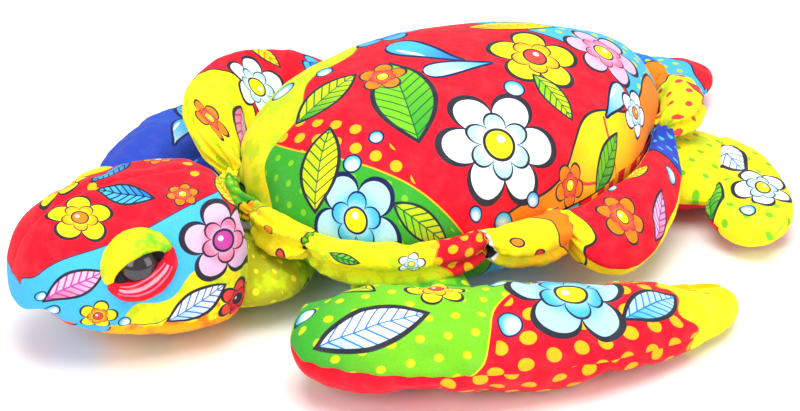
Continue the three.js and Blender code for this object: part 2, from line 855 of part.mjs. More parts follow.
for (const [name, plan, hand, x, y, z, turn] of limbs) {
  const place = root_place(x, y, z, turn, hand);
  add_flipper(turtle, name, plan, hand, place, [green_plush, red_plush]);
  add_root(body_group, `${name}_root`, plan, place, root_cutters);
}

export default turtle;
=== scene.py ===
import json
import math

import bmesh
import bpy
import numpy as np
from mathutils import Matrix, Vector, noise
from mathutils.kdtree import KDTree

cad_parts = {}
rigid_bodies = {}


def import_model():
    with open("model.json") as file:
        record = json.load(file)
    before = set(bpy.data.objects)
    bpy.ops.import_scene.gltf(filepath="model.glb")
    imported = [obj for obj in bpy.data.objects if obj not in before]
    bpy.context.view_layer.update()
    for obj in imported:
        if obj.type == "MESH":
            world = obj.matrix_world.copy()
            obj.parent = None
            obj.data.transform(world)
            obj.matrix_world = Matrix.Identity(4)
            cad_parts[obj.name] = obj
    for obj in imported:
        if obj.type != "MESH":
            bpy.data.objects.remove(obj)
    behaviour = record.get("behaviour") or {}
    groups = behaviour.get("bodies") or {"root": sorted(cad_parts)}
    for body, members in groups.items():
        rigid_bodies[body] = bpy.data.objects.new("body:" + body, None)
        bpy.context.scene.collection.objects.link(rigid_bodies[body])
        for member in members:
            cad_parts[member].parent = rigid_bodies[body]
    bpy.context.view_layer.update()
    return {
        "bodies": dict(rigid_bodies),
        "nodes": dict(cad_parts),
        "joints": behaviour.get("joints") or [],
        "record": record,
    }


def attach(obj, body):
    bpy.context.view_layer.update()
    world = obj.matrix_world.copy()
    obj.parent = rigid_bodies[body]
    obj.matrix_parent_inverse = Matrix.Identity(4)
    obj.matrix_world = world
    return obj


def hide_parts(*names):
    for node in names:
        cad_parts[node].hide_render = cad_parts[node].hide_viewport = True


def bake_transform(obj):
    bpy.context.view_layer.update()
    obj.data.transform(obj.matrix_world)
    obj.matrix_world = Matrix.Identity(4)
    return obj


# A stuffed sea turtle in bright printed plush, lying on its belly. Metres, Z up, head towards -Y,
# the turtle's left side towards +X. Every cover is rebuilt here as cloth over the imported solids.
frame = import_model()


# Studio
# The toy lies on a wide pale floor under a white sky. Large soft lamps stand over it, in front, at
# its left side and behind it, and the camera looks down on its left front quarter.
camera_azimuth = math.radians(56.5)
camera_elevation = math.radians(28.5)
camera_distance = 1.3
camera_target = Vector((-0.0039, -0.0321, 0.0234))
camera_lens = 100.6
camera_sensor = 36
towards_camera = Vector((
    math.sin(camera_azimuth) * math.cos(camera_elevation),
    -math.cos(camera_azimuth) * math.cos(camera_elevation),
    math.sin(camera_elevation),
))

camera = bpy.data.objects.new("camera", bpy.data.cameras.new("camera"))
camera.data.lens = camera_lens
camera.data.sensor_width = camera_sensor
camera.location = camera_target + towards_camera * camera_distance
camera.rotation_euler = towards_camera.to_track_quat("Z", "Y").to_euler()
bpy.context.scene.collection.objects.link(camera)
bpy.context.scene.camera = camera
bpy.context.scene.view_settings.view_transform = "Standard"

floor_half_width = 3
floor_colour = (0.93, 0.93, 0.935, 1)
floor_roughness = 0.7
floor_corners = [(-1, -1), (1, -1), (1, 1), (-1, 1)]
floor_points = [(x * floor_half_width, y * floor_half_width, 0) for x, y in floor_corners]
floor_mesh = bpy.data.meshes.new("floor")
floor_mesh.from_pydata(floor_points, [], [(0, 1, 2, 3)])
floor_paint = bpy.data.materials.new("floor")
floor_paint.use_nodes = True
floor_paint.node_tree.nodes["Principled BSDF"].inputs["Base Color"].default_value = floor_colour
floor_paint.node_tree.nodes["Principled BSDF"].inputs["Roughness"].default_value = floor_roughness
floor_mesh.materials.append(floor_paint)
floor = bpy.data.objects.new("floor", floor_mesh)
bpy.context.scene.collection.objects.link(floor)

sky_strength = 0.47
world = bpy.data.worlds.new("studio")
world.use_nodes = True
world.node_tree.nodes["Background"].inputs["Color"].default_value = (1, 1, 1, 1)
world.node_tree.nodes["Background"].inputs["Strength"].default_value = sky_strength
bpy.context.scene.world = world

# Each lamp: name, place, size and power; all of them point where the camera looks
for name, place, size, power in [
    ("lamp_over", (0.25, -0.15, 1.3), 1.0, 17),
    ("lamp_front", (0.6, -1.25, 0.75), 0.9, 8),
    ("lamp_side", (1.35, 0.45, 0.6), 0.9, 6),
    ("lamp_behind", (-0.9, 0.9, 0.9), 0.8, 6),
]:
    lamp = bpy.data.objects.new(name, bpy.data.lights.new(name, "AREA"))
    lamp.data.size = size
    lamp.data.energy = power
    lamp.location = place
    lamp.rotation_euler = (Vector(place) - camera_target).to_track_quat("Z", "Y").to_euler()
    bpy.context.scene.collection.objects.link(lamp)


# Printed plush
# All covers are cut from one printed plush. Flat bright dyes make fields of red, green, yellow and
# sky blue, and over them lie leaves, petals, rings and drops with dark lines. The pile is short.
def dye(*screen):
    """A printed colour, given as it looks on a screen."""
    shares = [value / 255 for value in screen]
    return tuple(v / 12.92 if v <= 0.04045 else ((v + 0.055) / 1.055) ** 2.4 for v in shares) + (1,)


red = dye(230, 12, 40)
deep_red = dye(178, 8, 30)
coral = dye(246, 70, 60)
pink = dye(244, 120, 160)
magenta = dye(196, 60, 160)
lilac = dye(226, 186, 226)
orange = dye(248, 132, 14)
amber = dye(252, 182, 18)
yellow = dye(252, 232, 20)
lime = dye(196, 218, 22)
bright_green = dye(118, 200, 30)
green = dye(56, 166, 44)
deep_green = dye(14, 112, 52)
olive = dye(176, 178, 20)
sky = dye(70, 184, 238)
pale_blue = dye(176, 222, 246)
blue = dye(30, 122, 226)
royal = dye(40, 70, 190)
navy = dye(20, 30, 78)
charcoal = dye(42, 42, 54)
white = dye(244, 247, 250)


class Nodes:
    """Adds shader nodes to one tree. Any value may be a socket or a plain number, colour or vector."""

    def __init__(self, tree):
        self.tree = tree

    def node(self, kind, **settings):
        node = self.tree.nodes.new(kind)
        for name, value in settings.items():
            setattr(node, name, value)
        return node

    def put(self, socket, value):
        if isinstance(value, bpy.types.NodeSocket):
            self.tree.links.new(value, socket)
        else:
            socket.default_value = value

    def math(self, operation, *values):
        node = self.node("ShaderNodeMath", operation=operation)
        for socket, value in zip(node.inputs, values):
            self.put(socket, value)
        return node.outputs[0]

    def vector(self, operation, a, b=None):
        node = self.node("ShaderNodeVectorMath", operation=operation)
        self.put(node.inputs[0], a)
        if b is not None:
            self.put(node.inputs[1], b)
        return node.outputs["Value" if operation in ("LENGTH", "DOT_PRODUCT") else "Vector"]

    def split(self, vector):
        return self.vector("DOT_PRODUCT", vector, (1, 0, 0)), self.vector("DOT_PRODUCT", vector, (0, 1, 0))

    def join(self, x, y, z=0.0):
        node = self.node("ShaderNodeCombineXYZ")
        for socket, value in zip(node.inputs, (x, y, z)):
            self.put(socket, value)
        return node.outputs[0]

    def length(self, vector):
        return self.vector("LENGTH", vector)

    def shape(self, value, low, high, to_low=0.0, to_high=1.0, smooth=True):
        node = self.node("ShaderNodeMapRange", interpolation_type="SMOOTHSTEP" if smooth else "LINEAR")
        names = ("Value", "From Min", "From Max", "To Min", "To Max")
        for name, setting in zip(names, (value, low, high, to_low, to_high)):
            self.put(node.inputs[name], setting)
        return node.outputs[0]

    def mix(self, share, under, over, kind="MIX"):
        node = self.node("ShaderNodeMix", data_type="RGBA", blend_type=kind)
        for socket, value in zip((node.inputs[0], node.inputs[6], node.inputs[7]), (share, under, over)):
            self.put(socket, value)
        return node.outputs[2]

    def noise(self, vector, size, detail=2.0):
        node = self.node("ShaderNodeTexNoise")
        self.put(node.inputs["Vector"], vector)
        self.put(node.inputs["Scale"], 1 / size)
        self.put(node.inputs["Detail"], detail)
        return node.outputs["Fac"]

    def use(self, group, **values):
        node = self.node("ShaderNodeGroup", node_tree=group)
        for name, value in values.items():
            self.put(node.inputs[name.replace("_", " ")], value)
        return node.outputs


def new_group(name, inputs, outputs):
    """An empty shared shader group, with its nodes, what it is given and what it makes."""
    tree = bpy.data.node_groups.new(name, "ShaderNodeTree")
    for names, way in ((inputs, "INPUT"), (outputs, "OUTPUT")):
        for socket in names:
            kind = "Color" if socket.endswith("Colour") else "Vector" if socket == "Place" else "Float"
            tree.interface.new_socket(socket, in_out=way, socket_type=f"NodeSocket{kind}")
    nodes = Nodes(tree)
    return tree, nodes, nodes.node("NodeGroupInput").outputs, nodes.node("NodeGroupOutput").inputs


# A motif is dyed where its distance is below zero, with a printed line of its own round it
print_edge = 0.00022
layer_sockets = ["Under Colour", "Distance", "Fill Colour", "Line Colour", "Line"]
layer_print, nodes, given, made = new_group("printed_layer", layer_sockets, ["Colour"])
past_line = nodes.math("SUBTRACT", given["Distance"], given["Line"])
lined = nodes.shape(past_line, print_edge, -print_edge)
dyed = nodes.shape(given["Distance"], print_edge, -print_edge)
ringed = nodes.mix(lined, given["Under Colour"], given["Line Colour"])
nodes.put(made["Colour"], nodes.mix(dyed, ringed, given["Fill Colour"]))

# A disc about a middle; Width is its breadth against its length along X
disc_print, nodes, given, made = new_group("disc_motif", ["Place", "Size", "Width"], ["Distance"])
x, y = nodes.split(given["Place"])
rounded = nodes.join(x, nodes.math("DIVIDE", y, given["Width"]))
nodes.put(made["Distance"], nodes.math("SUBTRACT", nodes.length(rounded), given["Size"]))

# Below 1, a motif's evenness keeps the line along its slanting edges from coming out too thin
petal_evenness = 0.85
leaf_evenness = 0.8
vein_evenness = 0.74
wave_evenness = 0.8

# Rounded petals about a middle; Width is their count
petal_roundness = 0.6
petal_print, nodes, given, made = new_group("petal_motif", ["Place", "Size", "Width"], ["Distance"])
x, y = nodes.split(given["Place"])
turn = nodes.math("MULTIPLY", nodes.math("MULTIPLY", nodes.math("ARCTAN2", y, x), given["Width"]), 0.5)
lobe = nodes.math("POWER", nodes.math("ABSOLUTE", nodes.math("COSINE", turn)), petal_roundness)
edge = nodes.math("MULTIPLY", nodes.math("MULTIPLY_ADD", lobe, 0.5, 0.5), given["Size"])
outside = nodes.math("SUBTRACT", nodes.length(given["Place"]), edge)
nodes.put(made["Distance"], nodes.math("MULTIPLY", outside, petal_evenness))

# A pointed leaf along X; Width is its half width against its half length
leaf_print, nodes, given, made = new_group("leaf_motif", ["Place", "Size", "Width"], ["Distance"])
x, y = nodes.split(given["Place"])
run = nodes.math("DIVIDE", x, given["Size"])
fall = nodes.math("SUBTRACT", 1.0, nodes.math("MULTIPLY", run, run))
half = nodes.math("MULTIPLY", nodes.math("MULTIPLY", fall, given["Width"]), given["Size"])
outside = nodes.math("SUBTRACT", nodes.math("ABSOLUTE", y), half)
nodes.put(made["Distance"], nodes.math("MULTIPLY", outside, leaf_evenness))

# Slanting veins on both sides of a midrib along X; Size is their spacing and Width their half width
vein_slant = -0.9
vein_print, nodes, given, made = new_group("vein_motif", ["Place", "Size", "Width"], ["Distance"])
x, y = nodes.split(given["Place"])
slant = nodes.math("MULTIPLY_ADD", nodes.math("ABSOLUTE", y), vein_slant, x)
step = nodes.math("FRACT", nodes.math("DIVIDE", slant, given["Size"]))
from_vein = nodes.math("ABSOLUTE", nodes.math("SUBTRACT", step, 0.5))
side_vein = nodes.math("MULTIPLY", nodes.math("MULTIPLY", from_vein, given["Size"]), vein_evenness)
nearest_vein = nodes.math("MINIMUM", side_vein, nodes.math("ABSOLUTE", y))
nodes.put(made["Distance"], nodes.math("SUBTRACT", nearest_vein, given["Width"]))

# A drop along X, round at its far end; Width is its half width against its half length
drop_taper = 0.55
drop_print, nodes, given, made = new_group("drop_motif", ["Place", "Size", "Width"], ["Distance"])
x, y = nodes.split(given["Place"])
run = nodes.math("DIVIDE", x, given["Size"])
fall = nodes.math("SUBTRACT", 1.0, nodes.math("MULTIPLY", run, run))
bow = nodes.math("POWER", nodes.math("MAXIMUM", fall, 0.0), 0.5)
tip = nodes.math("MULTIPLY", bow, nodes.math("MULTIPLY_ADD", run, drop_taper, drop_taper))
half = nodes.math("MULTIPLY", nodes.math("MULTIPLY", tip, given["Width"]), given["Size"])
past_end = nodes.math("MAXIMUM", nodes.math("SUBTRACT", nodes.math("ABSOLUTE", run), 1.0), 0.0)
beyond = nodes.math("MULTIPLY", past_end, given["Size"])
beside = nodes.math("SUBTRACT", nodes.math("ABSOLUTE", y), half)
nodes.put(made["Distance"], nodes.math("ADD", beyond, beside))


def waving(nodes, x, given):
    """How far a waving line along X swings to each side; Size is its swing and Length one wave."""
    turn = nodes.math("DIVIDE", nodes.math("MULTIPLY", x, 2 * math.pi), given["Length"])
    return nodes.math("MULTIPLY", nodes.math("SINE", turn), given["Size"])


# A band along a waving line; Width is its half width
wave_sockets = ["Place", "Size", "Width", "Length"]
wave_print, nodes, given, made = new_group("wave_motif", wave_sockets, ["Distance"])
x, y = nodes.split(given["Place"])
from_line = nodes.math("ABSOLUTE", nodes.math("SUBTRACT", y, waving(nodes, x, given)))
outside = nodes.math("SUBTRACT", from_line, given["Width"])
nodes.put(made["Distance"], nodes.math("MULTIPLY", outside, wave_evenness))

# All the cloth beyond a waving line
field_print, nodes, given, made = new_group("field_motif", ["Place", "Size", "Length"], ["Distance"])
x, y = nodes.split(given["Place"])
nodes.put(made["Distance"], nodes.math("SUBTRACT", waving(nodes, x, given), y))

# Polka dots in staggered rows; Length is their spacing
dot_row_share = 0.87
dots_print, nodes, given, made = new_group("dots_motif", ["Place", "Size", "Length"], ["Distance"])
x, y = nodes.split(given["Place"])
row_height = nodes.math("MULTIPLY", given["Length"], dot_row_share)
row = nodes.math("DIVIDE", y, row_height)
odd_row = nodes.math("MODULO", nodes.math("ABSOLUTE", nodes.math("FLOOR", row)), 2.0)
shift = nodes.math("MULTIPLY", odd_row, 0.5)
column = nodes.math("ADD", nodes.math("DIVIDE", x, given["Length"]), shift)
across = nodes.math("MULTIPLY", nodes.math("SUBTRACT", nodes.math("FRACT", column), 0.5), given["Length"])
up = nodes.math("MULTIPLY", nodes.math("SUBTRACT", nodes.math("FRACT", row), 0.5), row_height)
nodes.put(made["Distance"], nodes.math("SUBTRACT", nodes.length(nodes.join(across, up)), given["Size"]))

# Cloudy patches of a second dye; Width is its share of the cloth
patch_low = 0.42
patch_high = 0.58
mottle_sockets = ["Under Colour", "Over Colour", "Place", "Size", "Width"]
mottle_print, nodes, given, made = new_group("mottled_dye", mottle_sockets, ["Colour"])
cloud = nodes.node("ShaderNodeTexNoise")
nodes.put(cloud.inputs["Vector"], given["Place"])
nodes.put(cloud.inputs["Scale"], nodes.math("DIVIDE", 1.0, given["Size"]))
level = nodes.math("ADD", cloud.outputs["Fac"], nodes.math("SUBTRACT", given["Width"], 0.5))
patch = nodes.shape(level, patch_low, patch_high)
nodes.put(made["Colour"], nodes.mix(patch, given["Under Colour"], given["Over Colour"]))

# Short plush: the pile lies in soft streaks that lighten the dye a little, over a fine grain
pile_height = 0.0006
pile_strength = 0.4
pile_streak_size = 0.009
pile_grain_size = 0.0007
pile_tuft_size = 0.0019
pile_lightening = 0.016
pile_darkest = 0.9
pile_lightest = 1.04
pile_print, nodes, given, made = new_group("short_pile", ["Under Colour", "Place"], ["Colour", "Height"])
lay = nodes.noise(given["Place"], pile_streak_size, 3.0)
grain = nodes.noise(given["Place"], pile_grain_size, 1.0)
tuft = nodes.noise(given["Place"], pile_tuft_size, 1.0)
nodes.put(made["Height"], nodes.math("MULTIPLY_ADD", tuft, 0.6, nodes.math("MULTIPLY", grain, 0.5)))
brushed = nodes.mix(nodes.shape(lay, 0.4, 0.75, 0.0, pile_lightening), given["Under Colour"], white)
shade = nodes.shape(grain, 0.3, 0.7, pile_darkest, pile_lightest, smooth=False)
nodes.put(made["Colour"], nodes.mix(1.0, brushed, nodes.join(shade, shade, shade), kind="MULTIPLY"))

motifs = {
    "disc": disc_print, "petal": petal_print, "leaf": leaf_print, "veins": vein_print, "drop": drop_print,
    "wave": wave_print, "field": field_print, "dots": dots_print,
}
plush_roughness = 0.85
plush_shine = 0.2
plush_sheen = 0.05
plush_sheen_roughness = 0.45


class Cloth:
    """The print of one piece, built up layer by layer. Sizes are in millimetres on the flat cloth."""

    def __init__(self, name, ground):
        self.material = bpy.data.materials.new(name)
        self.material.use_nodes = True
        self.nodes = Nodes(self.material.node_tree)
        self.flat = self.nodes.node("ShaderNodeAttribute", attribute_name="cloth").outputs["Vector"]
        self.place = self.nodes.node("ShaderNodeTexCoord").outputs["Object"]
        self.colour = ground

    def at(self, x=0.0, y=0.0, turn=0.0):
        """Print places about a point, along a direction in degrees."""
        cos, sin = math.cos(math.radians(turn)), math.sin(math.radians(turn))
        moved = self.nodes.vector("SUBTRACT", self.flat, (x / 1000, y / 1000, 0))
        forward = self.nodes.vector("DOT_PRODUCT", moved, (cos, sin, 0))
        sideways = self.nodes.vector("DOT_PRODUCT", moved, (-sin, cos, 0))
        return self.nodes.join(forward, sideways)

    def form(self, kind, place, size, width=0.0, length=0.0):
        """The distance to the edge of a motif of one kind, below zero inside it."""
        values = {"Size": size / 1000}
        if kind in ("wave", "veins"):
            values["Width"] = width / 1000
        elif kind in ("disc", "petal", "leaf", "drop"):
            values["Width"] = width
        if kind in ("wave", "field", "dots"):
            values["Length"] = length / 1000
        return self.nodes.use(motifs[kind], Place=place, **values)["Distance"]

    def grown(self, form, size):
        return self.nodes.math("SUBTRACT", form, size / 1000)

    def common(self, *forms):
        both = forms[0]
        for form in forms[1:]:
            both = self.nodes.math("MAXIMUM", both, form)
        return both

    def over(self, under, form, fill, line=charcoal, thick=0.0):
        """One dye laid over another inside a form, with a printed line round it."""
        layer = self.nodes.use(
            layer_print,
            Under_Colour=under,
            Distance=form,
            Fill_Colour=fill,
            Line_Colour=line,
            Line=thick / 1000,
        )
        return layer["Colour"]

    def paint(self, form, fill, line=charcoal, thick=0.0):
        self.colour = self.over(self.colour, form, fill, line, thick)

    def graded(self, distance, start, end, from_colour, to_colour):
        """A dye that turns to another one between two distances."""
        return self.nodes.mix(self.nodes.shape(distance, start / 1000, end / 1000), from_colour, to_colour)

    def along(self, place, start, end, from_colour, to_colour):
        return self.graded(self.nodes.split(place)[0], start, end, from_colour, to_colour)

    def outwards(self, place, start, end, from_colour, to_colour):
        return self.graded(self.nodes.length(place), start, end, from_colour, to_colour)

    def mottle(self, size, under, over, share):
        """Cloudy patches of one dye over another."""
        patches = self.nodes.use(
            mottle_print,
            Under_Colour=under,
            Over_Colour=over,
            Place=self.place,
            Size=size / 1000,
            Width=share,
        )
        return patches["Colour"]

    def field(self, x, y, turn, fill, swing=0.0, length=100.0, line=charcoal, thick=0.0):
        """Dyes all the cloth to the left of a waving line that runs from a point along turn."""
        self.paint(self.form("field", self.at(x, y, turn), swing, length=length), fill, line, thick)

    def dots(self, spacing, size, fill, turn, within=None):
        """Polka dots over all the cloth, or only within a form."""
        dots = self.form("dots", self.at(turn=turn), size, length=spacing)
        self.paint(dots if within is None else self.common(dots, within), fill)

    def disc(self, x, y, size, fill, line=charcoal, thick=1.0):
        self.paint(self.form("disc", self.at(x, y), size, 1.0), fill, line, thick)

    def bubble(self, x, y, size, thick=1.1, width=1.0, turn=0.0):
        """A pale ball that deepens to sky blue away from a white gleam near one side."""
        place = self.at(x, y, turn)
        gleam = self.at(x + size * 0.25, y - size * 0.15, turn)
        shaded = self.outwards(gleam, size * 0.1, size * 1.25, white, sky)
        self.paint(self.form("disc", place, size, width), shaded, navy, thick)

    def leaf(self, x, y, size, turn, width, light, dark, vein, line, thick, spacing):
        """A leaf with one side light and one dark, a midrib and slanting veins."""
        place = self.at(x, y, turn)
        shaded = self.along(place, -size, size, dark, light)
        blade = self.over(shaded, self.form("field", place, 0.0, length=10.0), light)
        blade = self.over(blade, self.form("veins", place, spacing, 0.35), vein)
        self.paint(self.form("leaf", place, size, width), blade, line, thick)

    def flower(self, x, y, size, petals, turn, fill, shade, middle, line, thick):
        """Round petals, shaded to their root, with a smaller row inside and a dotted middle."""
        place = self.at(x, y, turn)
        far = self.nodes.length(place)
        petal = self.nodes.mix(self.nodes.shape(far, size * 0.0003, size * 0.00075), shade, fill)
        inner = self.nodes.mix(self.nodes.shape(far, size * 0.00015, size * 0.0005), fill, shade)
        inner_row = self.form("petal", self.at(x, y, turn + 180 / petals), size * 0.56, petals)
        petal = self.over(petal, inner_row, inner, line, thick * 0.4)
        petal = self.over(petal, self.form("disc", place, size * 0.24, 1.0), middle, line, thick * 0.5)
        dot = self.form("disc", self.at(x - size * 0.07, y + size * 0.07), size * 0.07, 1.0)
        self.paint(self.form("petal", place, size, petals), self.over(petal, dot, white), line, thick)

    def drop(self, x, y, size, turn, width, fill, shade, line, thick):
        """A drop, deeper at its tip, with a white gleam along one side."""
        place = self.at(x, y, turn)
        along, across = math.radians(turn), math.radians(turn + 90)
        gleam_x = x + size * (0.25 * math.cos(along) + 0.44 * width * math.cos(across))
        gleam_y = y + size * (0.25 * math.sin(along) + 0.44 * width * math.sin(across))
        gleam = self.form("leaf", self.at(gleam_x, gleam_y, turn), size * 0.42, width * 0.28)
        water = self.over(self.along(place, -size, size * 0.4, shade, fill), gleam, white)
        self.paint(self.form("drop", place, size, width), water, line, thick)

    def finish(self):
        """The plush with this print on it: short pile, hardly any shine and a faint sheen."""
        made = self.nodes.use(pile_print, Under_Colour=self.colour, Place=self.place)
        bump = self.nodes.node("ShaderNodeBump")
        bump.inputs["Distance"].default_value = pile_height
        bump.inputs["Strength"].default_value = pile_strength
        self.nodes.put(bump.inputs["Height"], made["Height"])
        skin = self.material.node_tree.nodes["Principled BSDF"]
        self.nodes.put(skin.inputs["Base Color"], made["Colour"])
        self.nodes.put(skin.inputs["Normal"], bump.outputs[0])
        skin.inputs["Roughness"].default_value = plush_roughness
        skin.inputs["Specular IOR Level"].default_value = plush_shine
        skin.inputs["Sheen Weight"].default_value = plush_sheen
        skin.inputs["Sheen Roughness"].default_value = plush_sheen_roughness
        return self.material


# Shell
# One domed cover of printed plush over loose fibre. It is sewn to the belly cover along the side
# seam, where the cloth is eased in, so the dome is a little uneven and dimpled at each gather.
body_half_width = 0.094
body_front_length = 0.128
body_rear_length = 0.151
side_seam_height = 0.049
shell_height = 0.065
crown_setback = 0.010
front_outline_power = 2.5
rear_outline_power = 1.6
shell_power = 2.15
crown_end = 0.996
gather_shares = [-0.25, -0.185, -0.04, 0.012, 0.165, 0.25, 0.335, 0.46, 0.51, 0.685]
shell_rows = 64
shell_columns = 280
seam_fine_steps = 4000
shell_lump_size = 0.045
shell_lump_depth = 0.0016
fine_lump_scale = 2.7
fine_lump_share = 0.4
gather_reach = 0.013
gather_dimple = 0.0030
held_reach = 0.009
sewn_reach_share = 0.8
cloth_neighbours = 10
cloth_frames = 20
cloth_pressure = 4
cloth_mass = 0.15
cloth_bending = 0.15


def signed_power(value, power):
    return np.sign(value) * np.abs(value) ** (2 / power)


def outline(share):
    """The side seam seen from above; share 0 is the turtle's left and -0.25 its front."""
    angle = 2 * math.pi * np.asarray(share, float)
    front = np.sin(angle) < 0
    power = np.where(front, front_outline_power, rear_outline_power)
    length = np.where(front, body_front_length, body_rear_length)
    x = signed_power(np.cos(angle), power) * body_half_width
    y = signed_power(np.sin(angle), power) * length
    return np.stack([x, y], -1)


def even_shares(count):
    """Shares whose points lie at even steps along the side seam, starting at the front."""
    fine = np.linspace(-0.25, 0.75, seam_fine_steps + 1)
    steps = np.linalg.norm(np.diff(outline(fine), axis=0), axis=1)
    length = np.concatenate([[0], np.cumsum(steps)])
    return np.interp(np.arange(count) / count * length[-1], length, fine)


def run_along(points, axis=0):
    """The length of the cloth from its first row to each row."""
    steps = np.linalg.norm(np.diff(points, axis=axis), axis=-1)
    start = np.zeros_like(np.take(steps, [0], axis=axis))
    return np.concatenate([start, np.cumsum(steps, axis=axis)], axis=axis)


def lumps(points, size, depth, seed=0):
    """How far loose fibre pushes the cloth out or lets it sink at each point."""
    flat = np.asarray(points, float).reshape(-1, 3) / size
    offset = Vector((seed * 7.3, seed * 3.1, seed * 5.7))

    def fibre(p):
        return noise.noise(p + offset) + fine_lump_share * noise.noise(p * fine_lump_scale + offset)

    values = [fibre(Vector(p)) for p in flat]
    return depth * np.array(values).reshape(np.asarray(points).shape[:-1])


def cloth_piece(name, points, cloth, closed=True, first_cap=None, last_cap=None):
    """A cover made of rows of points. cloth says where each point lies on the flat printed cloth."""
    rows, columns = points.shape[:2]
    vertices = list(points.reshape(-1, 3))
    prints = list(cloth.reshape(-1, 3))
    faces = []
    for i in range(rows - 1):
        for j in range(columns if closed else columns - 1):
            k = (j + 1) % columns
            faces.append((i * columns + j, i * columns + k, (i + 1) * columns + k, (i + 1) * columns + j))
    for cap, row in ((first_cap, 0), (last_cap, rows - 1)):
        if cap is None:
            continue
        vertices.append(np.asarray(cap, float))
        prints.append(cloth[row].mean(0))
        for j in range(columns if closed else columns - 1):
            faces.append((row * columns + j, row * columns + (j + 1) % columns, len(vertices) - 1))
    mesh = bpy.data.meshes.new(name)
    mesh.from_pydata([tuple(v) for v in vertices], [], faces)
    body = bmesh.new()
    body.from_mesh(mesh)
    bmesh.ops.recalc_face_normals(body, faces=body.faces)
    body.to_mesh(mesh)
    body.free()
    lay = mesh.attributes.new("cloth", "FLOAT_VECTOR", "POINT")
    lay.data.foreach_set("vector", np.array(prints, np.float32).ravel())
    mesh.shade_smooth()
    piece = bpy.data.objects.new(name, mesh)
    bpy.context.scene.collection.objects.link(piece)
    return piece


def points_of(piece):
    points = np.zeros(len(piece.data.vertices) * 3, np.float32)
    piece.data.vertices.foreach_get("co", points)
    return points.reshape(-1, 3).astype(float)


def push(piece, distance):
    """Moves each point of a cover out along its own normal."""
    normals = np.zeros(len(piece.data.vertices) * 3, np.float32)
    piece.data.vertex_normals.foreach_get("vector", normals)
    moved = points_of(piece) + normals.reshape(-1, 3) * np.asarray(distance)[:, None]
    piece.data.vertices.foreach_set("co", moved.astype(np.float32).ravel())
    piece.data.update()


def stuffed(rings, seams, slack, tight, most, step=0.005):
    """Stuffs a closed cover by cloth simulation. From a smaller start the cloth swells under pressure,
    held at the points in seams, and settles; no point ends further than most from where it was."""
    sewn = KDTree(len(seams))
    for index, seam in enumerate(seams):
        sewn.insert(seam, index)
    sewn.balance()
    flat = rings.reshape(-1, 3)
    from_seam = np.array([sewn.find(p)[2] for p in flat])
    held = np.exp(-(from_seam / held_reach) ** 2).reshape(rings.shape[:2] + (1,))
    middle = rings.mean(1, keepdims=True)
    start = middle + (rings - middle) * (tight + (1 - tight) * held)
    rough = cloth_piece("cover", start, start, first_cap=start[0].mean(0), last_cap=start[-1].mean(0))
    grid = rough.modifiers.new("grid", "REMESH")
    grid.mode = "VOXEL"
    grid.voxel_size = step
    gridded = rough.evaluated_get(bpy.context.evaluated_depsgraph_get())
    cover = bpy.data.objects.new("cover", bpy.data.meshes.new_from_object(gridded))
    bpy.context.scene.collection.objects.link(cover)
    before = points_of(cover)
    pins = cover.vertex_groups.new(name="sewn")
    pinned = [i for i, p in enumerate(before) if sewn.find(p)[2] < step * sewn_reach_share]
    pins.add(pinned, 1.0, "REPLACE")
    cloth = cover.modifiers.new("cloth", "CLOTH")
    cloth.settings.vertex_group_mass = "sewn"
    cloth.settings.use_pressure = True
    cloth.settings.uniform_pressure_force = cloth_pressure
    cloth.settings.effector_weights.gravity = 0
    cloth.settings.shrink_min = -slack
    cloth.settings.mass = cloth_mass
    cloth.settings.bending_stiffness = cloth_bending
    cloth.collision_settings.use_collision = False
    for number in range(1, cloth_frames + 1):
        bpy.context.scene.frame_set(number)
    swollen = cover.evaluated_get(bpy.context.evaluated_depsgraph_get()).to_mesh()
    after = np.zeros(len(before) * 3, np.float32)
    swollen.vertices.foreach_get("co", after)
    moves = after.reshape(-1, 3) - before
    near = KDTree(len(before))
    for index, p in enumerate(before):
        near.insert(p, index)
    near.balance()
    result = np.empty_like(flat)
    for index, p in enumerate(start.reshape(-1, 3)):
        found = near.find_n(p, cloth_neighbours)
        share = np.exp(-(np.array([f[2] for f in found]) / step) ** 2) + 1e-9
        result[index] = p + share @ moves[[f[1] for f in found]] / share.sum()
    for used in (cover, rough):
        bpy.data.meshes.remove(used.data)
    bpy.context.scene.frame_set(1)
    shift = result - flat
    far = np.linalg.norm(shift, axis=1, keepdims=True)
    return (flat + shift * np.minimum(1, most / np.maximum(far, 1e-9))).reshape(rings.shape)


def gather_pull(points, reach):
    """1 at each gather of the side seam, fading out over reach."""
    pull = np.zeros(len(points))
    for share in gather_shares:
        x, y = outline(share)
        away = np.linalg.norm(points - np.array([x, y, side_seam_height]), axis=1)
        pull = np.maximum(pull, np.exp(-(away / reach) ** 2))
    return pull


body_shares = even_shares(shell_columns)
shell_levels = np.concatenate([np.linspace(0, 1, shell_rows, endpoint=False), [crown_end]])
spread = signed_power(np.cos(shell_levels * math.pi / 2), shell_power)[:, None]
rise = signed_power(np.sin(shell_levels * math.pi / 2), shell_power)[:, None]
seam_line = outline(body_shares)
shell_points = np.zeros((len(shell_levels), shell_columns, 3))
shell_points[..., 0] = seam_line[None, :, 0] * spread
shell_points[..., 1] = seam_line[None, :, 1] * spread + crown_setback * (1 - spread)
shell_points[..., 2] = side_seam_height + rise * shell_height

# The print is laid flat from the crown outwards, so it doesn't stretch down the sides
from_crown = run_along(shell_points[::-1])[::-1]
heading = np.stack([seam_line[:, 0], seam_line[:, 1] - crown_setback], -1)
heading /= np.linalg.norm(heading, axis=1)[:, None]
shell_cloth = np.zeros_like(shell_points)
shell_cloth[..., :2] = heading[None] * from_crown[..., None]
shell_cloth[..., 2] = rise

